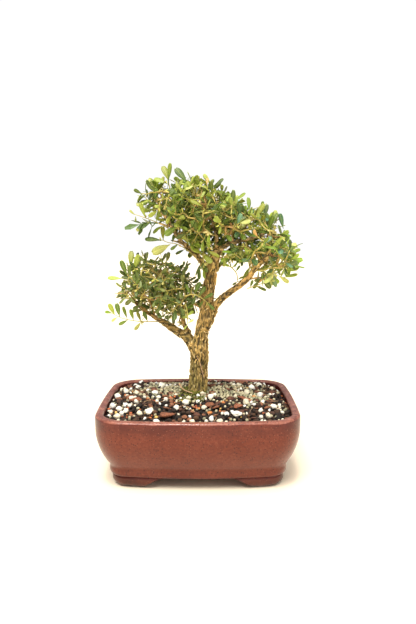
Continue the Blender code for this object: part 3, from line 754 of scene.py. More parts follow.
# name, patch colour, patch scale and amount, roughness, skin
gritSkins = {
    "granules": ("greyGranule", (0.16, 0.155, 0.11, 1), 900.0, 0.55, 0.85, (900.0, 3000.0, 0.4, 0.0004)),
    "perlite": ("perliteWhite", (0.50, 0.46, 0.38, 1), 500.0, 0.45, 0.9, (700.0, 2600.0, 0.5, 0.0006)),
    "bark": ("pineBark", (0.045, 0.018, 0.012, 1), 420.0, 0.75, 0.75, (350.0, 1600.0, 0.4, 0.0006)),
    "clay": ("firedClay", (0.30, 0.09, 0.03, 1), 700.0, 0.6, 0.9, (800.0, 2600.0, 0.5, 0.0004)),
    "crumbs": ("soilCrumb", (0.010, 0.008, 0.006, 1), 600.0, 0.7, 0.95, (600.0, 2000.0, 0.4, 0.0006)),
}
gritMaterials = {kind: tintedMaterial(*skin) for kind, skin in gritSkins.items()}

gritValues = {
    "granuleHeaps": (
        ((-0.030, 0.019), 0.021), ((0.028, 0.008), 0.023), ((0.050, -0.008), 0.016), ((0.008, -0.010), 0.011)),
    "clearOfTrunk": 0.0095,
    # lumps of the frame, dressed one by one: shape seed, roughness, ball levels, cuts
    "lumps": {
        "perlite": ("perliteLump", "perlite", 7, (50, 0.30, 4, 3), (0.96, 0.91, 0.76)),
        "clay": ("clayPiece", "clay_chip", 2, (70, 0.24, 3, 5), (0.72, 0.26, 0.07)),
    },
    "barkPieceTint": (0.36, 0.120, 0.052),
    # small pieces: flat is the height as a share of the size, squeeze how close they lie, lean how far they tip
    "loose": {
        "bark": {
            "count": 150, "sizes": (0.0042, 0.0112), "flat": (0.22, 0.45), "sink": 0.05, "squeeze": 0.62, "lean": 0.5,
            "tints": [(0.26, 0.090, 0.036), (0.15, 0.052, 0.024), (0.34, 0.130, 0.055), (0.085, 0.036, 0.018)],
        },
        "perlite": {
            "count": 150, "sizes": (0.0034, 0.0092), "flat": (0.6, 0.9), "sink": 0.12, "squeeze": 0.80, "lean": 3.1,
            "tints": [(0.96, 0.90, 0.72), (0.84, 0.74, 0.52), (0.99, 0.96, 0.86)],
        },
        "granules": {
            "count": 600, "sizes": (0.0029, 0.0040), "flat": (0.86, 1.0), "sink": 0.10, "squeeze": 0.86, "lean": 3.1,
            "tints": [(0.52, 0.45, 0.26), (0.40, 0.36, 0.20), (0.66, 0.57, 0.35), (0.30, 0.28, 0.165)],
        },
        "clay": {
            "count": 75, "sizes": (0.0022, 0.0046), "flat": (0.6, 0.95), "sink": 0.05, "squeeze": 0.60, "lean": 3.1,
            "tints": [(0.66, 0.20, 0.06), (0.75, 0.33, 0.09), (0.80, 0.52, 0.14), (0.50, 0.13, 0.05)],
        },
        "crumbs": {
            "count": 700, "sizes": (0.0028, 0.0072), "flat": (0.5, 0.9), "sink": 0.10, "squeeze": 0.55, "lean": 3.1,
            "tints": [(0.028, 0.014, 0.008), (0.060, 0.028, 0.013), (0.015, 0.009, 0.006), (0.13, 0.060, 0.026)],
        },
    },
}


class Bed:
    # keeps what already lies on the ground, so that the next piece finds room

    def __init__(self, cell=0.004):
        self.cell = cell
        self.held = {}

    def key(self, x, y):
        return int(math.floor(x / self.cell)), int(math.floor(y / self.cell))

    def free(self, x, y, radius, squeeze):
        cx, cy = self.key(x, y)
        reach = int(math.ceil((radius + 0.006) / self.cell))
        for i in range(cx - reach, cx + reach + 1):
            for j in range(cy - reach, cy + reach + 1):
                for ox, oy, other in self.held.get((i, j), ()):
                    if math.hypot(x - ox, y - oy) < (radius + other) * squeeze:
                        return False
        return True

    def add(self, x, y, radius):
        self.held.setdefault(self.key(x, y), []).append((x, y, radius))


gritSlots = {
    "granules": "grit_dressing", "perlite": "perlite", "bark": "pine_bark", "clay": "fired_clay",
    "crumbs": "potting_soil",
}


def heapShare(x, y):
    share = 0
    for (hx, hy), reach in gritValues["granuleHeaps"]:
        share = max(share, math.exp(-((x - hx) ** 2 + (y - hy) ** 2) / (reach * reach)))
    return share


def strew(bed, dice, v, templates, wanted):
    # drops pieces where wanted(x, y) is likely and there is room
    spots, tries = [], 0
    smallest, largest = v["sizes"]
    while len(spots) < v["count"] and tries < v["count"] * 40:
        tries += 1
        x, y = dice.uniform(-0.100, 0.100), dice.uniform(-0.080, 0.080)
        if dice.random() > wanted(x, y):
            continue
        size = smallest + (largest - smallest) * dice.random() ** 1.7
        if not insidePot(x, y, size * 0.45):
            continue
        if (Vector((x, y, 0)) - trunkFoot).length < gritValues["clearOfTrunk"] + size * 0.4:
            continue
        if not bed.free(x, y, size / 2, v["squeeze"]):
            continue
        ground = groundAt(x, y)
        if ground is None:
            continue
        bed.add(x, y, size / 2)
        shape = (size, size * dice.uniform(0.7, 1.0), size * dice.uniform(*v["flat"]))
        at = Vector((x, y, ground + shape[2] * (0.5 - v["sink"])))
        tint = pickShade(dice, v["tints"], 0.82, 1.15)
        spots.append((dice.randrange(len(templates)), spunMatrix(at, shape, dice, v["lean"]), tint))
    return spots


def perliteWanted(x, y):
    towardsEdge = max(0, 0.02 - y) / 0.05 + abs(x) / 0.11
    return (0.25 + 0.75 * min(1, towardsEdge)) * (1 - 0.72 * heapShare(x, y))


def makeGrit():
    dice = random.Random(11)
    bed = Bed()
    v = gritValues
    roundBlobs = [blobTemplate(s, 0.16) for s in range(5)]
    lumpBlobs = [blobTemplate(s + 10, 0.62, facets=4) for s in range(7)]
    flakeBlobs = [blobTemplate(s + 20, 0.34, facets=5) for s in range(6)]
    angularBlobs = [blobTemplate(s + 30, 0.25, facets=6) for s in range(5)]

    for kind, (piece, node, count, (seed, roughness, levels, cuts), tint) in v["lumps"].items():
        slot = gritSlots[kind]
        for number in range(1, count + 1):
            low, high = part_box(f"{node}_{number}")
            middle, size = (low + high) / 2, high - low
            shape, sides = blobTemplate(seed + number, roughness, levels, cuts)
            shape = shape / (np.abs(shape).max(0) * 2) * np.array(size) + np.array(middle)
            tints = np.tile(tint, (len(shape), 1))
            lump = meshPiece(f"{piece}{number}", shape, sides, [gritMaterials[kind]], tints)
            place(lump, slot, f"{node}_{number}")
            bed.add(middle.x, middle.y, max(size.x, size.y) * 0.45)
    for number in range(1, 6):
        makeBarkChip(number, bed)

    for name, kind, shapes, wanted in (
        ("barkFlakes", "bark", flakeBlobs, lambda x, y: 1 - 0.85 * heapShare(x, y)),
        ("perliteBits", "perlite", lumpBlobs, perliteWanted),
        ("greyGranules", "granules", roundBlobs, lambda x, y: heapShare(x, y) ** 0.8 + 0.02),
        ("clayBits", "clay", angularBlobs, lambda x, y: 0.4 if y > 0.01 else 1.0),
        ("soilCrumbs", "crumbs", angularBlobs, lambda x, y: 1 - 0.6 * heapShare(x, y)),
    ):
        spots = strew(bed, dice, v["loose"][kind], shapes, wanted)
        points, faces, tints = scatterCopies(shapes, spots)
        place(meshPiece(name, points, faces, [gritMaterials[kind]], tints), gritSlots[kind])
        print(name, len(spots))


def makeBarkChip(number, bed):
    # a torn lump of bark turned the way the frame's chip lies
    node = f"bark_chip_{number}"
    points, _ = meshArrays(cadNodes[node].data)
    low, high = points.min(0), points.max(0)
    _, axes = np.linalg.eigh(np.cov((points - points.mean(0)).T))
    turned = (points - points.mean(0)) @ axes
    middle, size = (turned.max(0) + turned.min(0)) / 2, turned.max(0) - turned.min(0)
    shape, sides = blobTemplate(90 + number, 0.30, levels=4, facets=9)
    shape = shape / (np.abs(shape).max(0) * 2)  # one unit along each axis
    rag = np.array([noise.noise(Vector((p[0] * 2, p[1] * 9, p[2] * 3 + number)) * 2.2) for p in shape])
    shape = shape * (1 + 0.14 * rag[:, None])
    shape = (shape * size + middle) @ axes.T + points.mean(0)
    shape = np.clip(shape, low - 0.0008, high + 0.0008)
    layer = 0.75 + 0.5 * np.clip(rag + 0.4, 0, 1)
    tint = np.array(gritValues["barkPieceTint"]) * layer[:, None]
    place(meshPiece(f"barkPiece{number}", shape, sides, [gritMaterials["bark"]], tint), "pine_bark", node)
    bed.add((low[0] + high[0]) / 2, (low[1] + high[1]) / 2, max(high[0] - low[0], high[1] - low[1]) * 0.36)


makeGrit()
print("grit strewn")


# moss and dry roots

mossValues = {
    "tufts": 4200,
    "bladeLength": (0.0016, 0.0040),
    "bladeWidth": 0.00045,
    "sunk": 0.0022,  # the body of the cushion lies this far below its blades' feet
    "body": (0.035, 0.038, 0.012),
    "greens": [  # from the deep patches to the light ones
        (0.010, 0.012, 0.003), (0.030, 0.038, 0.004), (0.090, 0.100, 0.008), (0.22, 0.21, 0.015), (0.46, 0.40, 0.03)],
}


def makeMoss():
    v = mossValues
    dice = random.Random(5)
    cushion = cadNodes["moss"]
    cushionTree = treeOf(cushion.data)
    low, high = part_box("moss")
    points, faces = meshArrays(cushion.data)
    points[:, 2] -= v["sunk"]
    tints = [np.tile(v["body"], (len(points), 1))]
    points, faces = [points], [list(f) for f in faces]
    base = len(points[0])
    made = 0
    while made < v["tufts"]:
        x = dice.uniform(low.x - 0.003, high.x + 0.003)
        y = dice.uniform(low.y - 0.020, high.y + 0.002)
        hit = cushionTree.ray_cast(Vector((x, y, 1)), Vector((0, 0, -1)))[0]
        ground = groundAt(x, y)
        drift = noise.noise(Vector((x, y, 5)) * 110) - max(abs(x + 0.008) - 0.008, 0) * 60
        spot = hit
        if not hit and ground and drift > -0.12 and dice.random() < 0.6:
            spot = Vector((x, y, ground + 0.001))
        if spot is None or dice.random() < (x + 0.002) * 90 or dice.random() < (-0.021 - x) * 200:
            continue
        made += 1
        length = dice.uniform(*v["bladeLength"])
        spot = spot - up * dice.uniform(0, 0.0016)
        lean = (shake(dice, 0.6, 0.6).to_3d() + up).normalized()
        side = lean.orthogonal().normalized()
        side.rotate(Matrix.Rotation(dice.uniform(0, 6.3), 3, lean))
        other = lean.cross(side)
        blade = []
        for rise, near, back, across in ((0, 1, 0.5, 0.8), (0.55, 0.9, 0.6, 0.5)):
            foot = spot + lean * length * rise
            wide = v["bladeWidth"]
            behind = foot - side * wide * back
            blade += [foot + side * wide * near, behind + other * wide * across, behind - other * wide * across]
        blade.append(spot + lean * length + Vector((lean.x, lean.y, -0.3)) * length * 0.35)
        points.append(np.array([p[:] for p in blade]))
        for k in range(3):
            m = (k + 1) % 3
            faces.append([base + k, base + m, base + 3 + m, base + 3 + k])
            faces.append([base + 3 + k, base + 3 + m, base + 6])
        faces.append([base, base + 2, base + 1])
        patch = noise.noise(Vector((x, y, 1)) * 240) * 0.5 + 0.5
        pick = min(int((patch * 0.8 + dice.random() * 0.35) * len(v["greens"])), len(v["greens"]) - 1)
        tints.append(np.tile(np.array(v["greens"][pick]) * dice.uniform(0.7, 1.2), (7, 1)))
        base += 7
    moss = meshPiece("mossCushion", np.concatenate(points), faces, [mossMaterial], np.concatenate(tints))
    return place(moss, "moss", "moss")


mossMaterial = tintedMaterial("mossGreen", (0.03, 0.03, 0.008, 1), 500.0, 0.45, 0.9, (900.0, 2600.0, 0.5, 0.0003))
makeMoss()


def softCurve(points, steps):
    # a smooth line through points
    rows = [Vector(p) for p in points]
    rows = [rows[0] * 2 - rows[1]] + rows + [rows[-1] * 2 - rows[-2]]
    line = []
    for a, b, c, d in zip(rows, rows[1:], rows[2:], rows[3:]):
        for i in range(steps):
            t = i / steps
            bend, twist = 2 * a - 5 * b + 4 * c - d, 3 * b - a - 3 * c + d
            line.append(0.5 * (2 * b + (c - a) * t + bend * t * t + twist * t ** 3))
    line.append(rows[-2])
    return line


rootValues = {
    "strewn": 38,
    "strewnLength": (0.008, 0.024),
    "strewnRadius": (0.0002, 0.0004),
    "tint": (0.62, 0.38, 0.20),
    "laid": [  # the ones that show most: points in tenths of a millimetre, radius in metres
        ([(-205, -40, 905), (-165, -60, 850), (-95, -80, 822), (10, -100, 798), (120, -120, 788), (230, -135, 776)],
         0.00075),
        ([(-130, -70, 815), (-115, -110, 770), (-100, -160, 768)], 0.0004),
        ([(20, -100, 796), (35, -140, 782), (40, -200, 772)], 0.0004),
        ([(-20, -30, 1200), (15, -55, 1130), (40, -60, 1040), (62, -52, 960)], 0.0007),
    ],
}
fibreMaterial = tintedMaterial("dryFibre", (0.18, 0.10, 0.06, 1), 700.0, 0.5, 0.8, (900.0, 2600.0, 0.5, 0.0002))


def makeDryRoots():
    v = rootValues
    dice = random.Random(21)
    routes = [([Vector(p) / 10000 for p in line], radius) for line, radius in v["laid"]]
    for _ in range(v["strewn"]):
        x, y = dice.uniform(-0.08, 0.08), dice.uniform(-0.062, 0.062)
        turn, length = dice.uniform(0, 6.3), dice.uniform(*v["strewnLength"])
        line = []
        for i in range(5):
            px, py = x + math.cos(turn) * length * i / 4, y + math.sin(turn) * length * i / 4
            turn += dice.uniform(-0.5, 0.5)
            if not insidePot(px, py, 0.002):
                break
            line.append((px, py, (groundAt(px, py) or 0.080) + dice.uniform(0.0014, 0.0032)))
        if len(line) > 2:
            routes.append((line, dice.uniform(*v["strewnRadius"])))
    points, faces, tints = [], [], []
    for route, radius in routes:
        line = softCurve(route, 4)
        tube, sides = tubeAlong(line, [radius * (1 - 0.5 * i / len(line)) for i in range(len(line))], 5)
        faces += [tuple(i + len(points) for i in face) for face in sides]
        points += tube
        tints += [np.array(v["tint"]) * dice.uniform(0.7, 1.2)] * len(tube)
    roots = meshPiece("dryRootlets", [p[:] for p in points], faces, [fibreMaterial], np.array(tints))
    return place(roots, "corky_bark")


makeDryRoots()
print("moss and rootlets laid")


# trunk and branches

barkValues = {
    "voxel": 0.00062,
    "ridgeDepth": 0.16,  # share of the limb's radius
    "leastDepth": 0.00020,
    "mostDepth": 0.00125,
    "coarse": 420.0,  # scale of the wide ridges
    "patchy": 260.0,  # scale of what breaks them up
    "mossyScale": 90.0,
    "mossyBelow": 0.135,
    "mossyShare": 0.62,
    "orangeFrom": 0.12,
    "paintedLightFrom": 0.190,
    "paintedLight": 1.3,  # painted light: added share of brightness on the upper limbs, which lie in the crown's shadow
    "ridgeTan": (0.58, 0.37, 0.100),
    "ridgeOrange": (0.62, 0.37, 0.115),
    # dark of the furrows: the bark's own darker tone there and painted shade in the crevices
    "furrowTintAndShade": (0.020, 0.015, 0.003),
    "mossy": (0.20, 0.19, 0.045),
    "sawnOrange": (0.66, 0.27, 0.09),
    "sawnPlace": (0.0735, -0.0285, 0.2285),
    "sawnRadius": 0.0026,
    "mostOrange": (0.88, 0.60, 0.26),
    "flakes": 1500,
    "flakeLength": (0.0020, 0.0052),
    "flakeTints": [
        (0.72, 0.48, 0.15), (0.50, 0.30, 0.08), (0.20, 0.15, 0.035), (0.07, 0.065, 0.012), (0.10, 0.075, 0.02),
        (0.88, 0.66, 0.30)],
}


def limbDirections(mesh):
    # the way each limb runs at each vertex: square to the normals around it
    finder = finderOf([vertex.co for vertex in mesh.vertices])
    normals = np.array([vertex.normal[:] for vertex in mesh.vertices])
    ways = np.zeros((len(mesh.vertices), 3))
    for vertex in mesh.vertices:
        near = [index for _, index, _ in finder.find_n(vertex.co, 26)]
        picked = normals[near]
        _, axes = np.linalg.eigh(picked.T @ picked)
        ways[vertex.index] = axes[:, 0]
    return finder, ways


def smearAlong(values, ends, weights, total, rounds):
    # evens values out between neighbours, most of all along the limb
    for _ in range(rounds):
        summed = np.bincount(ends[:, 0], weights=weights * values[ends[:, 1]], minlength=len(values))
        summed += np.bincount(ends[:, 1], weights=weights * values[ends[:, 0]], minlength=len(values))
        values = 0.35 * values + 0.65 * summed / total
    return (values - values.mean()) / values.std()


def closedSheet(long, wide):
    # faces of a sheet with an upper and a lower grid of points, closed round its rim
    faces, under = [], long * wide
    for r in range(long - 1):
        for c in range(wide - 1):
            a = r * wide + c
            faces.append((a, a + wide, a + wide + 1, a + 1))
            faces.append((a + under, a + 1 + under, a + wide + 1 + under, a + wide + under))
    rim = [r * wide for r in range(long)] + [(long - 1) * wide + c for c in range(1, wide)]
    rim += [r * wide + wide - 1 for r in range(long - 2, -1, -1)] + [c for c in range(wide - 2, 0, -1)]
    for a, b in zip(rim, rim[1:] + rim[:1]):
        faces.append((a, a + under, b + under, b))
    return np.array(faces)


def makeFlakes(points, normals, along, radius, green):
    # thin scales of bark that lift from the limbs
    v = barkValues
    dice = random.Random(77)
    templates = []
    for number in range(5):
        top = []
        for t in (-0.5, -0.2, 0.15, 0.5):
            for u in (-0.5, 0.05, 0.5):
                wide = (1 - 0.9 * abs(t) ** 1.5) * dice.uniform(0.75, 1.1)
                shift = dice.uniform(-0.06, 0.06)
                lift = 0.32 * (0.25 - u * u) + 0.22 * t * t + dice.uniform(-0.02, 0.02)
                top.append((t + shift, u * wide, lift))
        top = np.array(top)
        templates.append((np.concatenate([top, top - np.array((0, 0, 0.12))]), closedSheet(4, 3)))
    spots, tries = [], 0
    while len(spots) < v["flakes"] and tries < 60000:
        tries += 1
        i = dice.randrange(len(points))
        if radius[i] < 0.0014 or points[i][2] < 0.081 or dice.random() > radius[i] / 0.006:
            continue
        way, out = Vector(along[i]), Vector(normals[i])
        way = (way - out * way.dot(out)).normalized()
        turn = Matrix((way, out.cross(way), out)).transposed().to_4x4()
        length = dice.uniform(*v["flakeLength"]) * min(1, 0.45 + radius[i] / 0.008)
        width = dice.uniform(0.0008, 0.0017)
        lift = Matrix.Rotation(math.radians(dice.uniform(-20, 6)), 4, "Y")
        lift = lift @ Matrix.Rotation(math.radians(dice.gauss(0, 16)), 4, "Z")
        size = Matrix.Diagonal((length, width, 0.0011, 1))
        tint = pickShade(dice, v["flakeTints"], 0.75, 1.2)
        tint = tint * (1 - 0.5 * green[i]) + np.array(v["mossy"]) * 0.5 * green[i]
        at = Matrix.Translation(Vector(points[i]) + out * 0.0002)
        spots.append((dice.randrange(5), at @ turn @ lift @ size, tint))
    shapes, faces, tints = scatterCopies(templates, spots)
    flakes = tintedMaterial("barkScale", (0.22, 0.13, 0.04, 1), 700.0, 0.35, 0.85, (900.0, 2600.0, 0.4, 0.0003))
    place(meshPiece("barkScales", shapes, faces, [flakes], tints), "corky_bark")


def makeTrunk():
    v = barkValues
    source = cadNodes["trunk"]
    finder, ways = limbDirections(source.data)
    trunk = addObject("corkyTrunk", source.data.copy())
    remesh = trunk.modifiers.new("remesh", "REMESH")
    remesh.mode = "VOXEL"
    remesh.voxel_size = v["voxel"]
    soften = trunk.modifiers.new("soften", "SMOOTH")
    soften.factor = 0.5
    soften.iterations = 6
    graph = bpy.context.evaluated_depsgraph_get()
    mesh = bpy.data.meshes.new_from_object(trunk.evaluated_get(graph))
    trunk.modifiers.clear()
    trunk.data = mesh
    points, _ = meshArrays(mesh)
    count = len(points)
    normals = np.array([vertex.normal[:] for vertex in mesh.vertices])
    along = np.zeros((count, 3))
    for i, at in enumerate(points):
        found = finder.find_n(Vector(at), 4)
        first = ways[found[0][1]]
        total = np.zeros(3)
        for _, index, distance in found:
            way = ways[index]
            total += way * (1 if way @ first > 0 else -1) / (distance + 0.0005)
        along[i] = total / np.linalg.norm(total)
    ends = np.zeros(len(mesh.edges) * 2, np.int64)
    mesh.edges.foreach_get("vertices", ends)
    ends = ends.reshape(-1, 2)
    run = points[ends[:, 1]] - points[ends[:, 0]]
    run /= np.linalg.norm(run, axis=1)[:, None] + 1e-12
    align = np.abs((run * along[ends[:, 0]]).sum(1))
    weights = align ** 6 + 0.012
    total = sum(np.bincount(ends[:, side], weights=weights, minlength=count) for side in (0, 1))
    total = np.maximum(total, 1e-9)
    coarse = smearAlong(noiseOver(points, v["coarse"]), ends, weights, total, 22)
    fine = smearAlong(np.random.default_rng(3).normal(size=count), ends, weights, total, 9)
    broken = noiseOver(points, v["patchy"], (9, 3, 1))
    relief = np.tanh(coarse * 0.9) * 0.70 + fine * 0.45 + broken * 0.7
    radius = np.full(count, 0.001)
    ownTree = treeOf(source.data)
    for i in range(count):
        inward = Vector(-normals[i])
        hit = ownTree.ray_cast(Vector(points[i]) + inward * 0.0004, inward)
        if hit[0]:
            radius[i] = hit[3] / 2
    radius = np.clip(radius, 0.0008, 0.010)
    depth = np.clip(radius * v["ridgeDepth"], v["leastDepth"], v["mostDepth"])
    lowered = points + normals * (depth * np.clip(relief, -1.6, 1.3))[:, None]
    mesh.vertices.foreach_set("co", lowered.ravel())

    # ridges take the bark's tan, the furrows their dark with painted shade in the crevices
    ridge = np.clip((relief + 0.55) / 1.5, 0, 1)[:, None]
    height = np.clip((points[:, 2] - v["orangeFrom"]) / 0.10, 0, 1)[:, None]
    patch = noiseOver(points, v["mossyScale"])
    green = np.clip((v["mossyBelow"] - points[:, 2]) / 0.06 + patch * 1.1, 0, 1)[:, None] * v["mossyShare"]
    tan = np.array(v["ridgeTan"]) * (1 - height) + np.array(v["ridgeOrange"]) * height
    tan = tan * (1 - green) + np.array(v["mossy"]) * green
    # painted light lifts the upper limbs out of the crown's shadow
    paintedLightShare = np.clip((points[:, 2] - v["paintedLightFrom"]) / 0.05, 0, 1)[:, None]
    tan = np.minimum(tan * (1 + v["paintedLight"] * paintedLightShare), v["mostOrange"])
    furrowTintAndShade = np.array(v["furrowTintAndShade"]) * (1 + 0.9 * height)
    tint = tan * ridge + furrowTintAndShade * (1 - ridge)
    fromSawn = np.linalg.norm(points - np.array(v["sawnPlace"]), axis=1)
    sawn = np.clip(1.6 - fromSawn / v["sawnRadius"], 0, 1)[:, None]
    paintPoints(mesh, tint * (1 - sawn) + np.array(v["sawnOrange"]) * sawn)
    makeFlakes(points, normals, along, radius, green)
    mesh.materials.clear()
    mesh.materials.append(tintedMaterial(
        "corkyBark", (0.20, 0.14, 0.065, 1), 650.0, 0.40, 0.85, (700.0, 2200.0, 0.4, 0.0005)))
    mesh.polygons.foreach_set("use_smooth", [True] * len(mesh.polygons))
    mesh.update()
    print("bark", count, "points")
    return place(trunk, "corky_bark", "trunk")


makeTrunk()
print("trunk carved")


# leaves and shoots

leafValues = {
    "width": 0.39,  # share of the length
    "thickness": 0.00028,
    "spacing": 0.0070,  # between the points that twigs grow through
    "innerMargin": 0.0062,  # leaves reach this far past the outermost twig points
    "limbClear": 0.0030,  # beside a limb that shows at the front
    "sprayStretch": 1.25,
    "spraySwing": 2,  # millimetres that the tips stand before or behind their spray's plane, in turns
    "roomLow": (-0.100, -0.062, 0.140),  # the box that twig points are strewn in
    "roomHigh": (0.100, 0.062, 0.306),
    "throws": 36000,
    "innerLength": (0.0100, 0.0165),
    "tipLength": (0.0090, 0.0140),
    "youngLength": (0.0070, 0.0125),
    "budLength": (0.0030, 0.0056),
    "innerSpread": (30, 68),  # degrees between leaf and stem
    "tipSpread": (12, 38),
    "lostShare": 0.08,  # leaves that have dropped
    "dryShare": 0.006,
    "budShare": 0.80,
    "youngShare": 0.34,
    "oldGreens": [
        (0.080, 0.145, 0.011), (0.140, 0.220, 0.018), (0.220, 0.300, 0.030), (0.330, 0.385, 0.052),
        (0.260, 0.275, 0.036)],
    "darkGreens": [(0.026, 0.064, 0.008), (0.044, 0.088, 0.010), (0.072, 0.122, 0.014)],
    "padGreens": [
        (0.095, 0.130, 0.026), (0.062, 0.092, 0.016), (0.145, 0.180, 0.050), (0.046, 0.072, 0.011),
        (0.200, 0.215, 0.065)],
    "youngGreens": [(0.40, 0.44, 0.085), (0.52, 0.53, 0.160), (0.30, 0.37, 0.050)],
    "brightGreens": [(0.21, 0.33, 0.022), (0.32, 0.42, 0.040), (0.15, 0.26, 0.018)],
    "blueGreens": [(0.050, 0.150, 0.085), (0.090, 0.210, 0.130), (0.040, 0.125, 0.055)],
    "budCream": [(0.78, 0.70, 0.22), (0.66, 0.63, 0.12), (0.84, 0.68, 0.26)],
    "dry": (0.80, 0.40, 0.14),
    "stemGreen": (0.60, 0.52, 0.12),
    "stemTan": (0.62, 0.38, 0.13),
}

# outlines of the two leafy masses seen from the front, in millimetres (x, z)
crownOutline = [
    (-58, 289), (-52, 297), (-42, 298), (-35, 301), (-26, 297), (-18, 303), (-11, 304), (-3, 305), (5, 301),
    (10, 298), (16, 298), (22, 294), (28, 287), (36, 284), (44, 279), (50, 274), (58, 270), (65, 270), (71, 266),
    (78, 262), (83, 256), (88, 250), (90, 243), (94, 237), (98, 232), (103, 224), (105, 219), (101, 212), (95, 207),
    (89, 203), (80, 201), (74, 195), (66, 192), (58, 192), (54, 196), (58, 204), (51, 210), (43, 216), (35, 214),
    (27, 214), (20, 216), (12, 216), (7, 210), (2, 212), (-4, 222), (-12, 232), (-21, 241), (-27, 249), (-31, 255),
    (-39, 263), (-47, 270), (-55, 277), (-59, 283),
]
padOutline = [
    (-77, 215), (-72, 219), (-67, 221), (-59, 224), (-51, 222), (-43, 224), (-35, 222), (-26, 220), (-18, 216),
    (-10, 211), (-5, 203), (0, 194), (6, 187), (13, 185), (12, 176), (5, 168), (-2, 164), (-7, 154), (-13, 144),
    (-19, 139), (-26, 144), (-31, 152), (-39, 156), (-47, 158), (-55, 159), (-63, 163), (-76, 170), (-86, 176),
    (-90, 185), (-83, 194), (-83, 206),
]
frontEye = Vector(stageValues["eye"])  # the masses keep their outlines seen from here

# limbs that show through a gap in the leaves at the front: points and half widths in millimetres
openLimbs = [
    [(0, 6, 90, 10), (1, 4, 122, 9), (5, 1, 152, 7), (11, 0, 189, 6), (16, -2, 218, 5), (20, -4, 232, 4)],
    [(20, -4, 230, 4), (32, -10, 238, 4), (47, -16, 241, 3), (63, -22, 247, 2)],
    [(20, -4, 230, 4), (18, -6, 246, 4), (14, -5, 260, 2)],
    [(8, 0, 148, 4), (17, -5, 173, 4), (33, -15, 189, 3), (50, -22, 203, 3), (63, -26, 220, 3), (72, -28, 227, 2)],
    [(-1, 5, 224, 3), (-11, 7, 232, 2), (-19, 6, 241, 2), (-26, 4, 251, 2), (-31, 2, 261, 2), (-37, 0, 268, 1)],
    [(0, 4, 117, 5), (-19, 12, 141, 5), (-39, 20, 153, 3), (-57, 24, 163, 2)],
    [(-6, 7, 131, 3), (-15, 14, 150, 3), (-19, 18, 160, 2)],
]

# sprays that stand out of the masses: y of their plane, stem points (x, z), then leaves as base x and z, tip x and
# z, kind; all in millimetres
sprays = [
    (4, [(-27, 250), (-39, 257), (-54, 263), (-66, 267)], [
        (-54, 263, -59, 276, "o"), (-50, 259, -61, 252, "y"), (-37, 255, -46, 250, "o"), (-65, 266, -69, 270, "y"),
        (-64, 265, -65, 260, "y"), (-43, 259, -41, 268, "o"),
    ]),
    (4, [(2, 218), (-8, 228), (-21, 236), (-31, 238), (-38, 241)], [
        (-36, 240, -37, 252, "o"), (-38, 240, -51, 243, "o"), (-27, 238, -25, 245, "d"), (-29, 236, -44, 229, "y"),
        (-14, 231, -22, 227, "d"), (-21, 236, -27, 232, "o"), (-6, 225, -4, 234, "o"),
    ]),
    (0, [(-28, 289), (-30, 300)], [
        (-30, 300, -34, 313, "o"), (-30, 300, -28, 314, "o"), (-31, 297, -42, 303, "y"),
    ]),
    (-6, [(-8, 290), (-11, 299)], [
        (-11, 298, -20, 310, "d"), (-8, 292, -1, 302, "o"),
    ]),
    (0, [(15, 289), (13, 297)], [
        (13, 296, 7, 305, "y"), (14, 294, 21, 297, "o"),
    ]),
    (-8, [(44, 263), (51, 270), (60, 273), (69, 277)], [
        (51, 269, 52, 281, "o"), (64, 269, 64, 277, "o"), (44, 265, 38, 276, "o"),
    ]),
    (-16, [(74, 255), (78, 259)], [
        (78, 257, 77, 268, "y"), (85, 252, 82, 264, "b"), (74, 251, 66, 266, "d"),
    ]),
    (-24, [(72, 215), (81, 218), (91, 220)], [
        (90, 219, 92, 227, "Y"), (91, 220, 98, 226, "Y"), (92, 219, 102, 222, "Y"), (86, 210, 97, 214, "Y"),
        (78, 212, 88, 217, "y"), (85, 204, 96, 207, "y"), (80, 206, 89, 200, "y"), (82, 235, 88, 243, "d"),
        (85, 229, 96, 236, "y"), (78, 224, 90, 225, "d"),
    ]),
    (-24, [(49, 193), (58, 196), (69, 200)], [
        (64, 198, 76, 200, "d"), (58, 195, 66, 193, "d"), (60, 198, 65, 204, "w"), (52, 194, 54, 200, "o"),
    ]),
    (-14, [(32, 215), (38, 209), (40, 203), (40, 199), (46, 202)], [
        (33, 214, 28, 216, "o"), (38, 209, 41, 214, "o"), (40, 201, 45, 204, "o"), (40, 199, 36, 197, "o"),
    ]),
    (18, [(-44, 153), (-57, 153), (-70, 154), (-83, 157), (-93, 162)], [
        (-93, 162, -100, 164, "Y"), (-90, 160, -95, 170, "o"), (-85, 158, -88, 170, "o"), (-77, 156, -80, 167, "o"),
        (-70, 154, -73, 164, "o"), (-62, 153, -65, 162, "o"), (-87, 158, -94, 154, "y"), (-76, 155, -84, 151, "o"),
        (-62, 153, -68, 145, "y"), (-55, 153, -58, 162, "o"),
    ]),
    (10, [(-68, 205), (-71, 212)], [
        (-71, 211, -71, 226, "o"), (-75, 203, -80, 216, "o"), (-80, 200, -93, 201, "y"), (-68, 209, -63, 222, "o"),
    ]),
    (-12, [(-14, 184), (-4, 186), (5, 181), (10, 177)], [
        (-8, 185, -11, 194, "d"), (-4, 186, 0, 196, "d"), (-2, 185, -6, 177, "d"), (5, 181, 13, 186, "d"),
        (6, 180, 1, 174, "d"), (9, 178, 15, 172, "d"), (1, 184, 6, 192, "d"),
    ]),
    (-6, [(-13, 175), (-11, 165), (-11, 154)], [
        (-12, 171, -6, 173, "Y"), (-12, 168, -16, 170, "y"), (-11, 163, -6, 167, "Y"), (-11, 161, -15, 162, "y"),
        (-11, 155, -6, 158, "y"), (-11, 154, -14, 150, "o"),
    ]),
]
kindTints = {
    "o": "oldGreens", "d": "darkGreens", "y": "youngGreens", "Y": "brightGreens", "b": "blueGreens",
    "p": "padGreens",
}


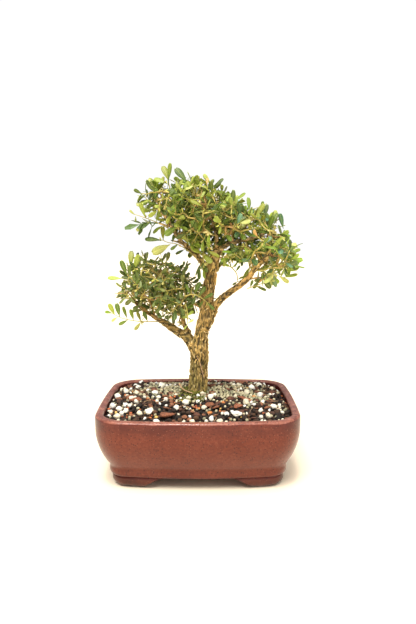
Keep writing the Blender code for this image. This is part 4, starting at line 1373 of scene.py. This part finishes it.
def leafShape(bend, fold, widthScale, curl):
    # a spoon of a leaf, closed, one unit long: narrow foot, widest past the middle, notched tip
    rows = (0, 0.13, 0.32, 0.54, 0.74, 0.89, 1.0)
    widths = (0.10, 0.20, 0.60, 0.92, 1.0, 0.80, 0.36)
    columns = (-1, -0.52, 0, 0.52, 1)
    usualLength = 0.013
    half = leafValues["width"] / 2 * widthScale
    thick = leafValues["thickness"] / usualLength
    top, uv = [], []
    for t, w in zip(rows, widths):
        for u in columns:
            x = t - (0.035 * (1 - abs(u)) if t == 1.0 else 0)
            y = u * w * half
            z = fold * abs(y) - bend * t * t - curl * (u * w) ** 2 * half
            top.append((x, y, z))
            uv.append((0.5 + 0.5 * u, t))
    top = np.array(top)
    bottom = top.copy()
    shrink = np.array([1 - abs(u) ** 3 * 0.8 for _ in rows for u in columns])
    bottom[:, 2] -= thick * shrink
    points = np.concatenate([top, bottom])
    return points, closedSheet(len(rows), len(columns)), np.array(uv + uv), len(top)


leafShapes = [leafShape(*v) for v in (
    (0.10, 0.30, 1.00, 0.35), (0.22, 0.20, 0.90, 0.25), (-0.06, 0.35, 1.08, 0.30),
    (0.05, 0.15, 0.78, 0.20), (0.16, 0.45, 0.95, 0.45), (0.30, 0.25, 1.05, 0.40),
)]


def makeLeafMaterial():
    leaf, tree, shader = newMaterial(
        "boxwoodLeaf", 0.42, Specular_IOR_Level=0.35, Coat_Weight=0.06, Coat_Roughness=0.25)
    tint = addNode(tree, "Attribute", attribute_name="tint")
    leafMap = addNode(tree, "UVMap", uv_map="leafMap")
    split = addNode(tree, "SeparateXYZ")
    # distance from the midrib, 0 on it and 1 at the margin
    offset = addNode(tree, "Math", operation="SUBTRACT")
    offset.inputs[1].default_value = 0.5
    away = addNode(tree, "Math", operation="ABSOLUTE")
    rib = addNode(tree, "MapRange", From_Min=0.02, From_Max=0.075, To_Min=1.0, To_Max=0.0)
    margin = addNode(tree, "MapRange", From_Min=0.40, From_Max=0.50, To_Min=0.0, To_Max=0.85)
    # side veins slant forward from the rib
    slant = addNode(tree, "Math", operation="MULTIPLY_ADD")
    slant.inputs[1].default_value = -0.9
    repeat = addNode(tree, "Math", operation="MULTIPLY")
    repeat.inputs[1].default_value = 75.0
    wave = addNode(tree, "Math", operation="SINE")
    vein = addNode(tree, "MapRange", From_Min=0.55, From_Max=1.0, To_Min=0.0, To_Max=0.22)
    most = addNode(tree, "Math", operation="MAXIMUM")
    lines = addNode(tree, "Math", operation="MAXIMUM")
    lighter = addNode(tree, "Mix", data_type="RGBA", blend_type="MIX")
    mottle = useGroup(tree, mottleGroup, Patch_Colour=(0.20, 0.24, 0.045, 1), Scale=240.0, Amount=0.30)
    paler = addNode(tree, "Mix", data_type="RGBA", blend_type="ADD")
    paler.inputs[0].default_value = 1.0
    paler.inputs[7].default_value = (0.14, 0.15, 0.035, 1)
    join(
        tree,
        (leafMap, 0, split, 0), (split, 0, offset, 0), (offset, 0, away, 0), (away, 0, rib, "Value"),
        (away, 0, margin, "Value"), (away, 0, slant, 0), (split, 1, slant, 2), (slant, 0, repeat, 0),
        (repeat, 0, wave, 0), (wave, 0, vein, "Value"), (rib, 0, most, 0), (margin, 0, most, 1),
        (most, 0, lines, 0), (vein, 0, lines, 1), (tint, "Color", mottle, "Colour"), (mottle, "Colour", paler, 6),
        (mottle, "Colour", lighter, 6), (paler, 2, lighter, 7), (lines, 0, lighter, 0),
        (lighter, 2, shader, "Base Color"))
    bump = addNode(tree, "Bump", Strength=0.5, Distance=0.0002)
    bump.invert = True
    shine = addNode(tree, "MapRange", To_Min=0.34, To_Max=0.55)
    join(
        tree,
        (lines, 0, bump, "Height"), (bump, 0, shader, "Normal"), (mottle, "Mask", shine, "Value"),
        (shine, 0, shader, "Roughness"))
    return leaf


leafMaterial = makeLeafMaterial()
stemMaterial = tintedMaterial("youngStem", (0.20, 0.13, 0.05, 1), 500.0, 0.4, 0.6, (900.0, 2600.0, 0.4, 0.0002))


def onPlane(at, y):
    # where the line from the front eye through a point meets the plane at y
    return frontEye + (at - frontEye) * ((y - frontEye.y) / (at.y - frontEye.y))


def edgeRoom(outline, x, z):
    # distance from the outline in metres, positive inside it
    inside, least = False, 1.0
    for (ax, az), (bx, bz) in zip(outline, outline[1:] + outline[:1]):
        ax, az, bx, bz = ax / 1000, az / 1000, bx / 1000, bz / 1000
        if (az > z) != (bz > z) and x < (bx - ax) * (z - az) / (bz - az) + ax:
            inside = not inside
        along = ((x - ax) * (bx - ax) + (z - az) * (bz - az)) / ((bx - ax) ** 2 + (bz - az) ** 2)
        along = clamp(along)
        least = min(least, math.hypot(x - ax - (bx - ax) * along, z - az - (bz - az) * along))
    return least if inside else -least


masses = [  # outline, its plane, half depth, how the middle leans with x, full depth this far in
    (crownOutline, 0.0, 0.043, -0.27, 0.026),
    (padOutline, 0.020, 0.038, 0.0, 0.024),
]


def massRoom(at):
    # how far inside the leafy masses a point is, in metres
    best = -1.0
    for outline, plane, depth, lean, full in masses:
        seen = onPlane(at, plane)
        room = edgeRoom(outline, seen.x, seen.z)
        if room <= 0:
            continue
        share = min(room / full, 1)
        half = depth * math.sqrt(1 - (1 - share) ** 2)
        middle = plane + lean * max(at.x, 0)
        best = max(best, min(room, half - abs(at.y - middle)))
    return best


def hidesLimb(at, extra=0.0):
    # whether a point stands in front of a limb that shows
    for limb in openLimbs:
        for a, b in zip(limb, limb[1:]):
            low, high = Vector(a[:3]) / 1000, Vector(b[:3]) / 1000
            if at.y > max(low.y, high.y):
                continue
            seen = onPlane(at, (low.y + high.y) / 2)
            run = Vector((high.x - low.x, high.z - low.z))
            off = Vector((seen.x - low.x, seen.z - low.z))
            along = clamp(off.dot(run) / run.length_squared)
            wide = (a[3] + (b[3] - a[3]) * along) / 1000
            if (off - run * along).length < wide + extra:
                return True
    return False


nextCells = [(i, j, k) for i in (-1, 0, 1) for j in (-1, 0, 1) for k in (-1, 0, 1)]


def hasNeighbour(grid, key, at, spacing):
    for i, j, k in nextCells:
        for other in grid.get((key[0] + i, key[1] + j, key[2] + k), ()):
            if (other - at).length < spacing:
                return True
    return False


def growTwigs(dice):
    # joins points strewn in the masses to the wood, nearest first, as a plant fills its room
    v = leafValues
    seeds, grid = [], {}
    trunkPoints, _ = meshArrays(cadNodes["trunk"].data)
    finder = finderOf([Vector(p) for p in trunkPoints if p[2] > 0.150])
    low, high = Vector(v["roomLow"]), Vector(v["roomHigh"])
    for _ in range(v["throws"]):
        at = Vector([dice.uniform(a, b) for a, b in zip(low, high)])
        key = tuple(int(c / v["spacing"]) for c in at)
        if hasNeighbour(grid, key, at, v["spacing"]):
            continue
        ragged = v["innerMargin"] * (1.0 + 0.9 * noise.noise(at * 60))
        if massRoom(at) < ragged:
            continue
        closed = 0.32 - 0.36 * clamp((at.x - 0.050) / 0.030)
        if noise.noise(at * 70 + Vector((4, 2, 7))) > closed:  # openings between the clusters
            continue
        if hidesLimb(at, v["limbClear"]):
            continue
        grid.setdefault(key, []).append(at)
        seeds.append(at)
    seeds.sort(key=lambda at: finder.find(at)[2])
    nodes = []  # place, parent number or -1, foot on the wood, depth, children
    for at in seeds:
        woodSpot, _, woodFar = finder.find(at)
        best, parent = woodFar * 1.15, -1
        for index in range(len(nodes)):
            far = (nodes[index][0] - at).length
            if far < best and nodes[index][4] < 3 and far > 0.003:
                best, parent = far, index
        if parent < 0:
            nodes.append([at, -1, woodSpot, 0, 0])
        else:
            nodes[parent][4] += 1
            nodes.append([at, parent, None, nodes[parent][3] + 1, 0])
    return nodes


def inPad(at):
    return at.x < 0.014 and at.z < 0.226 - max(at.x + 0.010, 0) * 1.5


def pickTint(dice, kind):
    if kind == "w":
        return np.array(leafValues["dry"])
    return pickShade(dice, leafValues[kindTints[kind]], 0.85, 1.18)


def leafTint(dice, at, young):
    if dice.random() < leafValues["dryShare"]:
        return pickTint(dice, "w")
    chance = dice.random()
    if young and inPad(at):
        return pickTint(dice, "p")
    if young:
        return pickTint(dice, "Y" if at.x > 0.06 and chance < 0.5 else "y")
    if inPad(at):
        return pickTint(dice, "d" if at.x > -0.035 and chance < 0.6 or chance < 0.3 else "p")
    if at.x > 0.030 and chance < 0.14:
        return pickTint(dice, "b")
    if at.x > 0.030 and chance < 0.24:
        return pickTint(dice, "Y")
    return pickTint(dice, "d" if noise.noise(at * 45) > 0.06 and chance < 0.85 or chance < 0.34 else "o")


class ShootBuilder:
    # gathers the leaves and stems of one shoot

    def __init__(self):
        self.points, self.faces, self.tints, self.uv, self.kinds, self.base = [], [], [], [], [], 0

    def addLeaf(self, at, way, face, length, tint, dice, shape=None):
        points, faces, uv, under = leafShapes[dice.randrange(len(leafShapes)) if shape is None else shape]
        way = way.normalized()
        face = face - way * face.dot(way)
        if face.length < 0.05:
            face = way.orthogonal()
        face.normalize()
        across = face.cross(way)
        turn = np.array([way[:], across[:], face[:]])
        wide = dice.uniform(0.85, 1.12)
        shade = np.tile(tint, (len(points), 1))
        shade[under:] = shade[under:] * 0.9 + np.array((0.055, 0.065, 0.020))  # the paler underside
        placed = (points * np.array((length, length * wide, length))) @ turn + np.array(at)
        self.gather(placed, (faces + self.base).tolist(), shade, uv, 0)

    def addStem(self, route, radii, tint):
        points, faces = tubeAlong(route, radii, 5)
        faces = [tuple(i + self.base for i in face) for face in faces]
        self.gather(np.array([p[:] for p in points]), faces, np.tile(tint, (len(points), 1)),
                    np.zeros((len(points), 2)), 1)

    def gather(self, points, faces, tints, uv, kind):
        self.points.append(points)
        self.faces += faces
        self.tints.append(tints)
        self.uv.append(uv)
        self.kinds += [kind] * len(faces)
        self.base += len(points)

    def addBuds(self, at, heading, dice):
        # a rosette of tiny pale leaves in a leaf's axil
        v = leafValues
        for _ in range(dice.randrange(2, 6)):
            way = heading + shake(dice, 0.8, 0.8, 0.8)
            length = dice.uniform(*v["budLength"])
            self.addLeaf(at, way, up + heading, length, pickShade(dice, v["budCream"], 0.75, 1.1), dice)

    def build(self, name):
        return meshPiece(name, np.concatenate(self.points), self.faces, [leafMaterial, stemMaterial],
                         np.concatenate(self.tints), np.concatenate(self.uv), self.kinds)


def addPair(builder, dice, at, heading, out, sizes, young, spread):
    # two leaves that face each other across the stem
    for side in (1, -1):
        if dice.random() < leafValues["lostShare"]:
            continue
        angle = math.radians(dice.uniform(*spread))
        way = heading * math.cos(angle) + out * side * math.sin(angle)
        way += shake(dice, 0.16, 0.16, 0.16)
        way.normalize()
        face = heading * 0.8 + up * dice.uniform(0.2, 0.9) - out * side * 0.3
        face += shake(dice, 0.30, 0.30, 0.18)
        length = dice.uniform(*sizes) * (0.82 if inPad(at) else 1.0)
        if hidesLimb(at + way * length * 0.6, 0.0008) and dice.random() < 0.95:
            continue
        builder.addLeaf(at, way, face, length, leafTint(dice, at, young), dice)


def addSprays(builders, middles, dice):
    v = leafValues
    for y, stem, leaves in sprays:
        line = softCurve([Vector((x, y, z)) / 1000 for x, z in stem], 4)
        builder = builders[middles.find(line[-1])[1]]
        tint = np.array(v["stemGreen"]) * dice.uniform(0.8, 1.0)
        builder.addStem(line, [0.00062 - 0.0003 * i / len(line) for i in range(len(line))], tint)
        for i, (baseX, baseZ, tipX, tipZ, kind) in enumerate(leaves):
            swing = v["spraySwing"] * (-1) ** i
            base, tip = Vector((baseX, y, baseZ)) / 1000, Vector((tipX, y + swing, tipZ)) / 1000
            way = tip - base
            face = Vector((dice.uniform(-0.5, 0.5), -1.0, dice.uniform(0.0, 0.9)))
            tint, shape = pickTint(dice, kind), dice.choice((0, 1, 3))
            builder.addLeaf(base, way, face, way.length * v["sprayStretch"], tint, dice, shape)
            if dice.random() < 0.4:
                builder.addBuds(base, way.normalized(), dice)


def makeShoots():
    dice = random.Random(31)
    v = leafValues
    shootNames = sorted(name for name in cadNodes if name.startswith("shoot_"))
    middles = finderOf([sum(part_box(name), Vector()) / 2 for name in shootNames])
    builders = [ShootBuilder() for _ in shootNames]
    nodes = growTwigs(dice)
    loads = [1] * len(nodes)
    for index in range(len(nodes) - 1, -1, -1):
        parent = nodes[index][1]
        if parent >= 0:
            loads[parent] += loads[index]
    for index, (at, parent, foot, depth, children) in enumerate(nodes):
        builder = builders[middles.find(at)[1]]
        start = nodes[parent][0] if parent >= 0 else foot
        heading = (at - start).normalized()
        radius = 0.00042 + 0.00018 * math.sqrt(loads[index])
        bow = heading.orthogonal().normalized() * (at - start).length * dice.uniform(-0.14, 0.14)
        woody = min(loads[index] / 8, 1)
        tint = np.array(v["stemGreen"]) * (1 - woody) + np.array(v["stemTan"]) * woody
        route = [start - heading * 0.0004, start.lerp(at, 0.5) + bow, at]
        builder.addStem(route, [radius * 1.25, radius * 1.08, radius], tint * dice.uniform(0.75, 1.1))
        out = heading.orthogonal().normalized()
        out.rotate(Matrix.Rotation(math.radians(90 * (depth % 2) + dice.uniform(-30, 30)), 3, heading))
        tip = children == 0
        young = tip and dice.random() < 0.20
        addPair(builder, dice, at, heading, out, v["innerLength"], young, v["innerSpread"])
        if dice.random() < v["budShare"]:
            builder.addBuds(at, heading, dice)
        if tip:
            lift = (heading + up * 0.25).normalized()
            end = at + lift * dice.uniform(0.002, 0.005)
            builder.addStem([at, end], [radius, radius * 0.8], np.array(v["stemGreen"]) * dice.uniform(0.8, 1.1))
            young = dice.random() < v["youngShare"]
            sizes = v["youngLength"] if young else v["tipLength"]
            addPair(builder, dice, end, lift, out.cross(heading), sizes, young, v["tipSpread"])
    addSprays(builders, middles, dice)
    total = 0
    for name, builder in zip(shootNames, builders):
        if not builder.points:
            print("no leaves near", name)
            continue
        number = name.split("_")[1]
        place(builder.build(f"leafyShoot{number}"), "leaf_green", name)
        total += sum(1 for kind in builder.kinds if kind == 0) // len(leafShapes[0][1])
    print("leaves", total, "twig points", len(nodes))


makeShoots()
print("shoots in leaf")
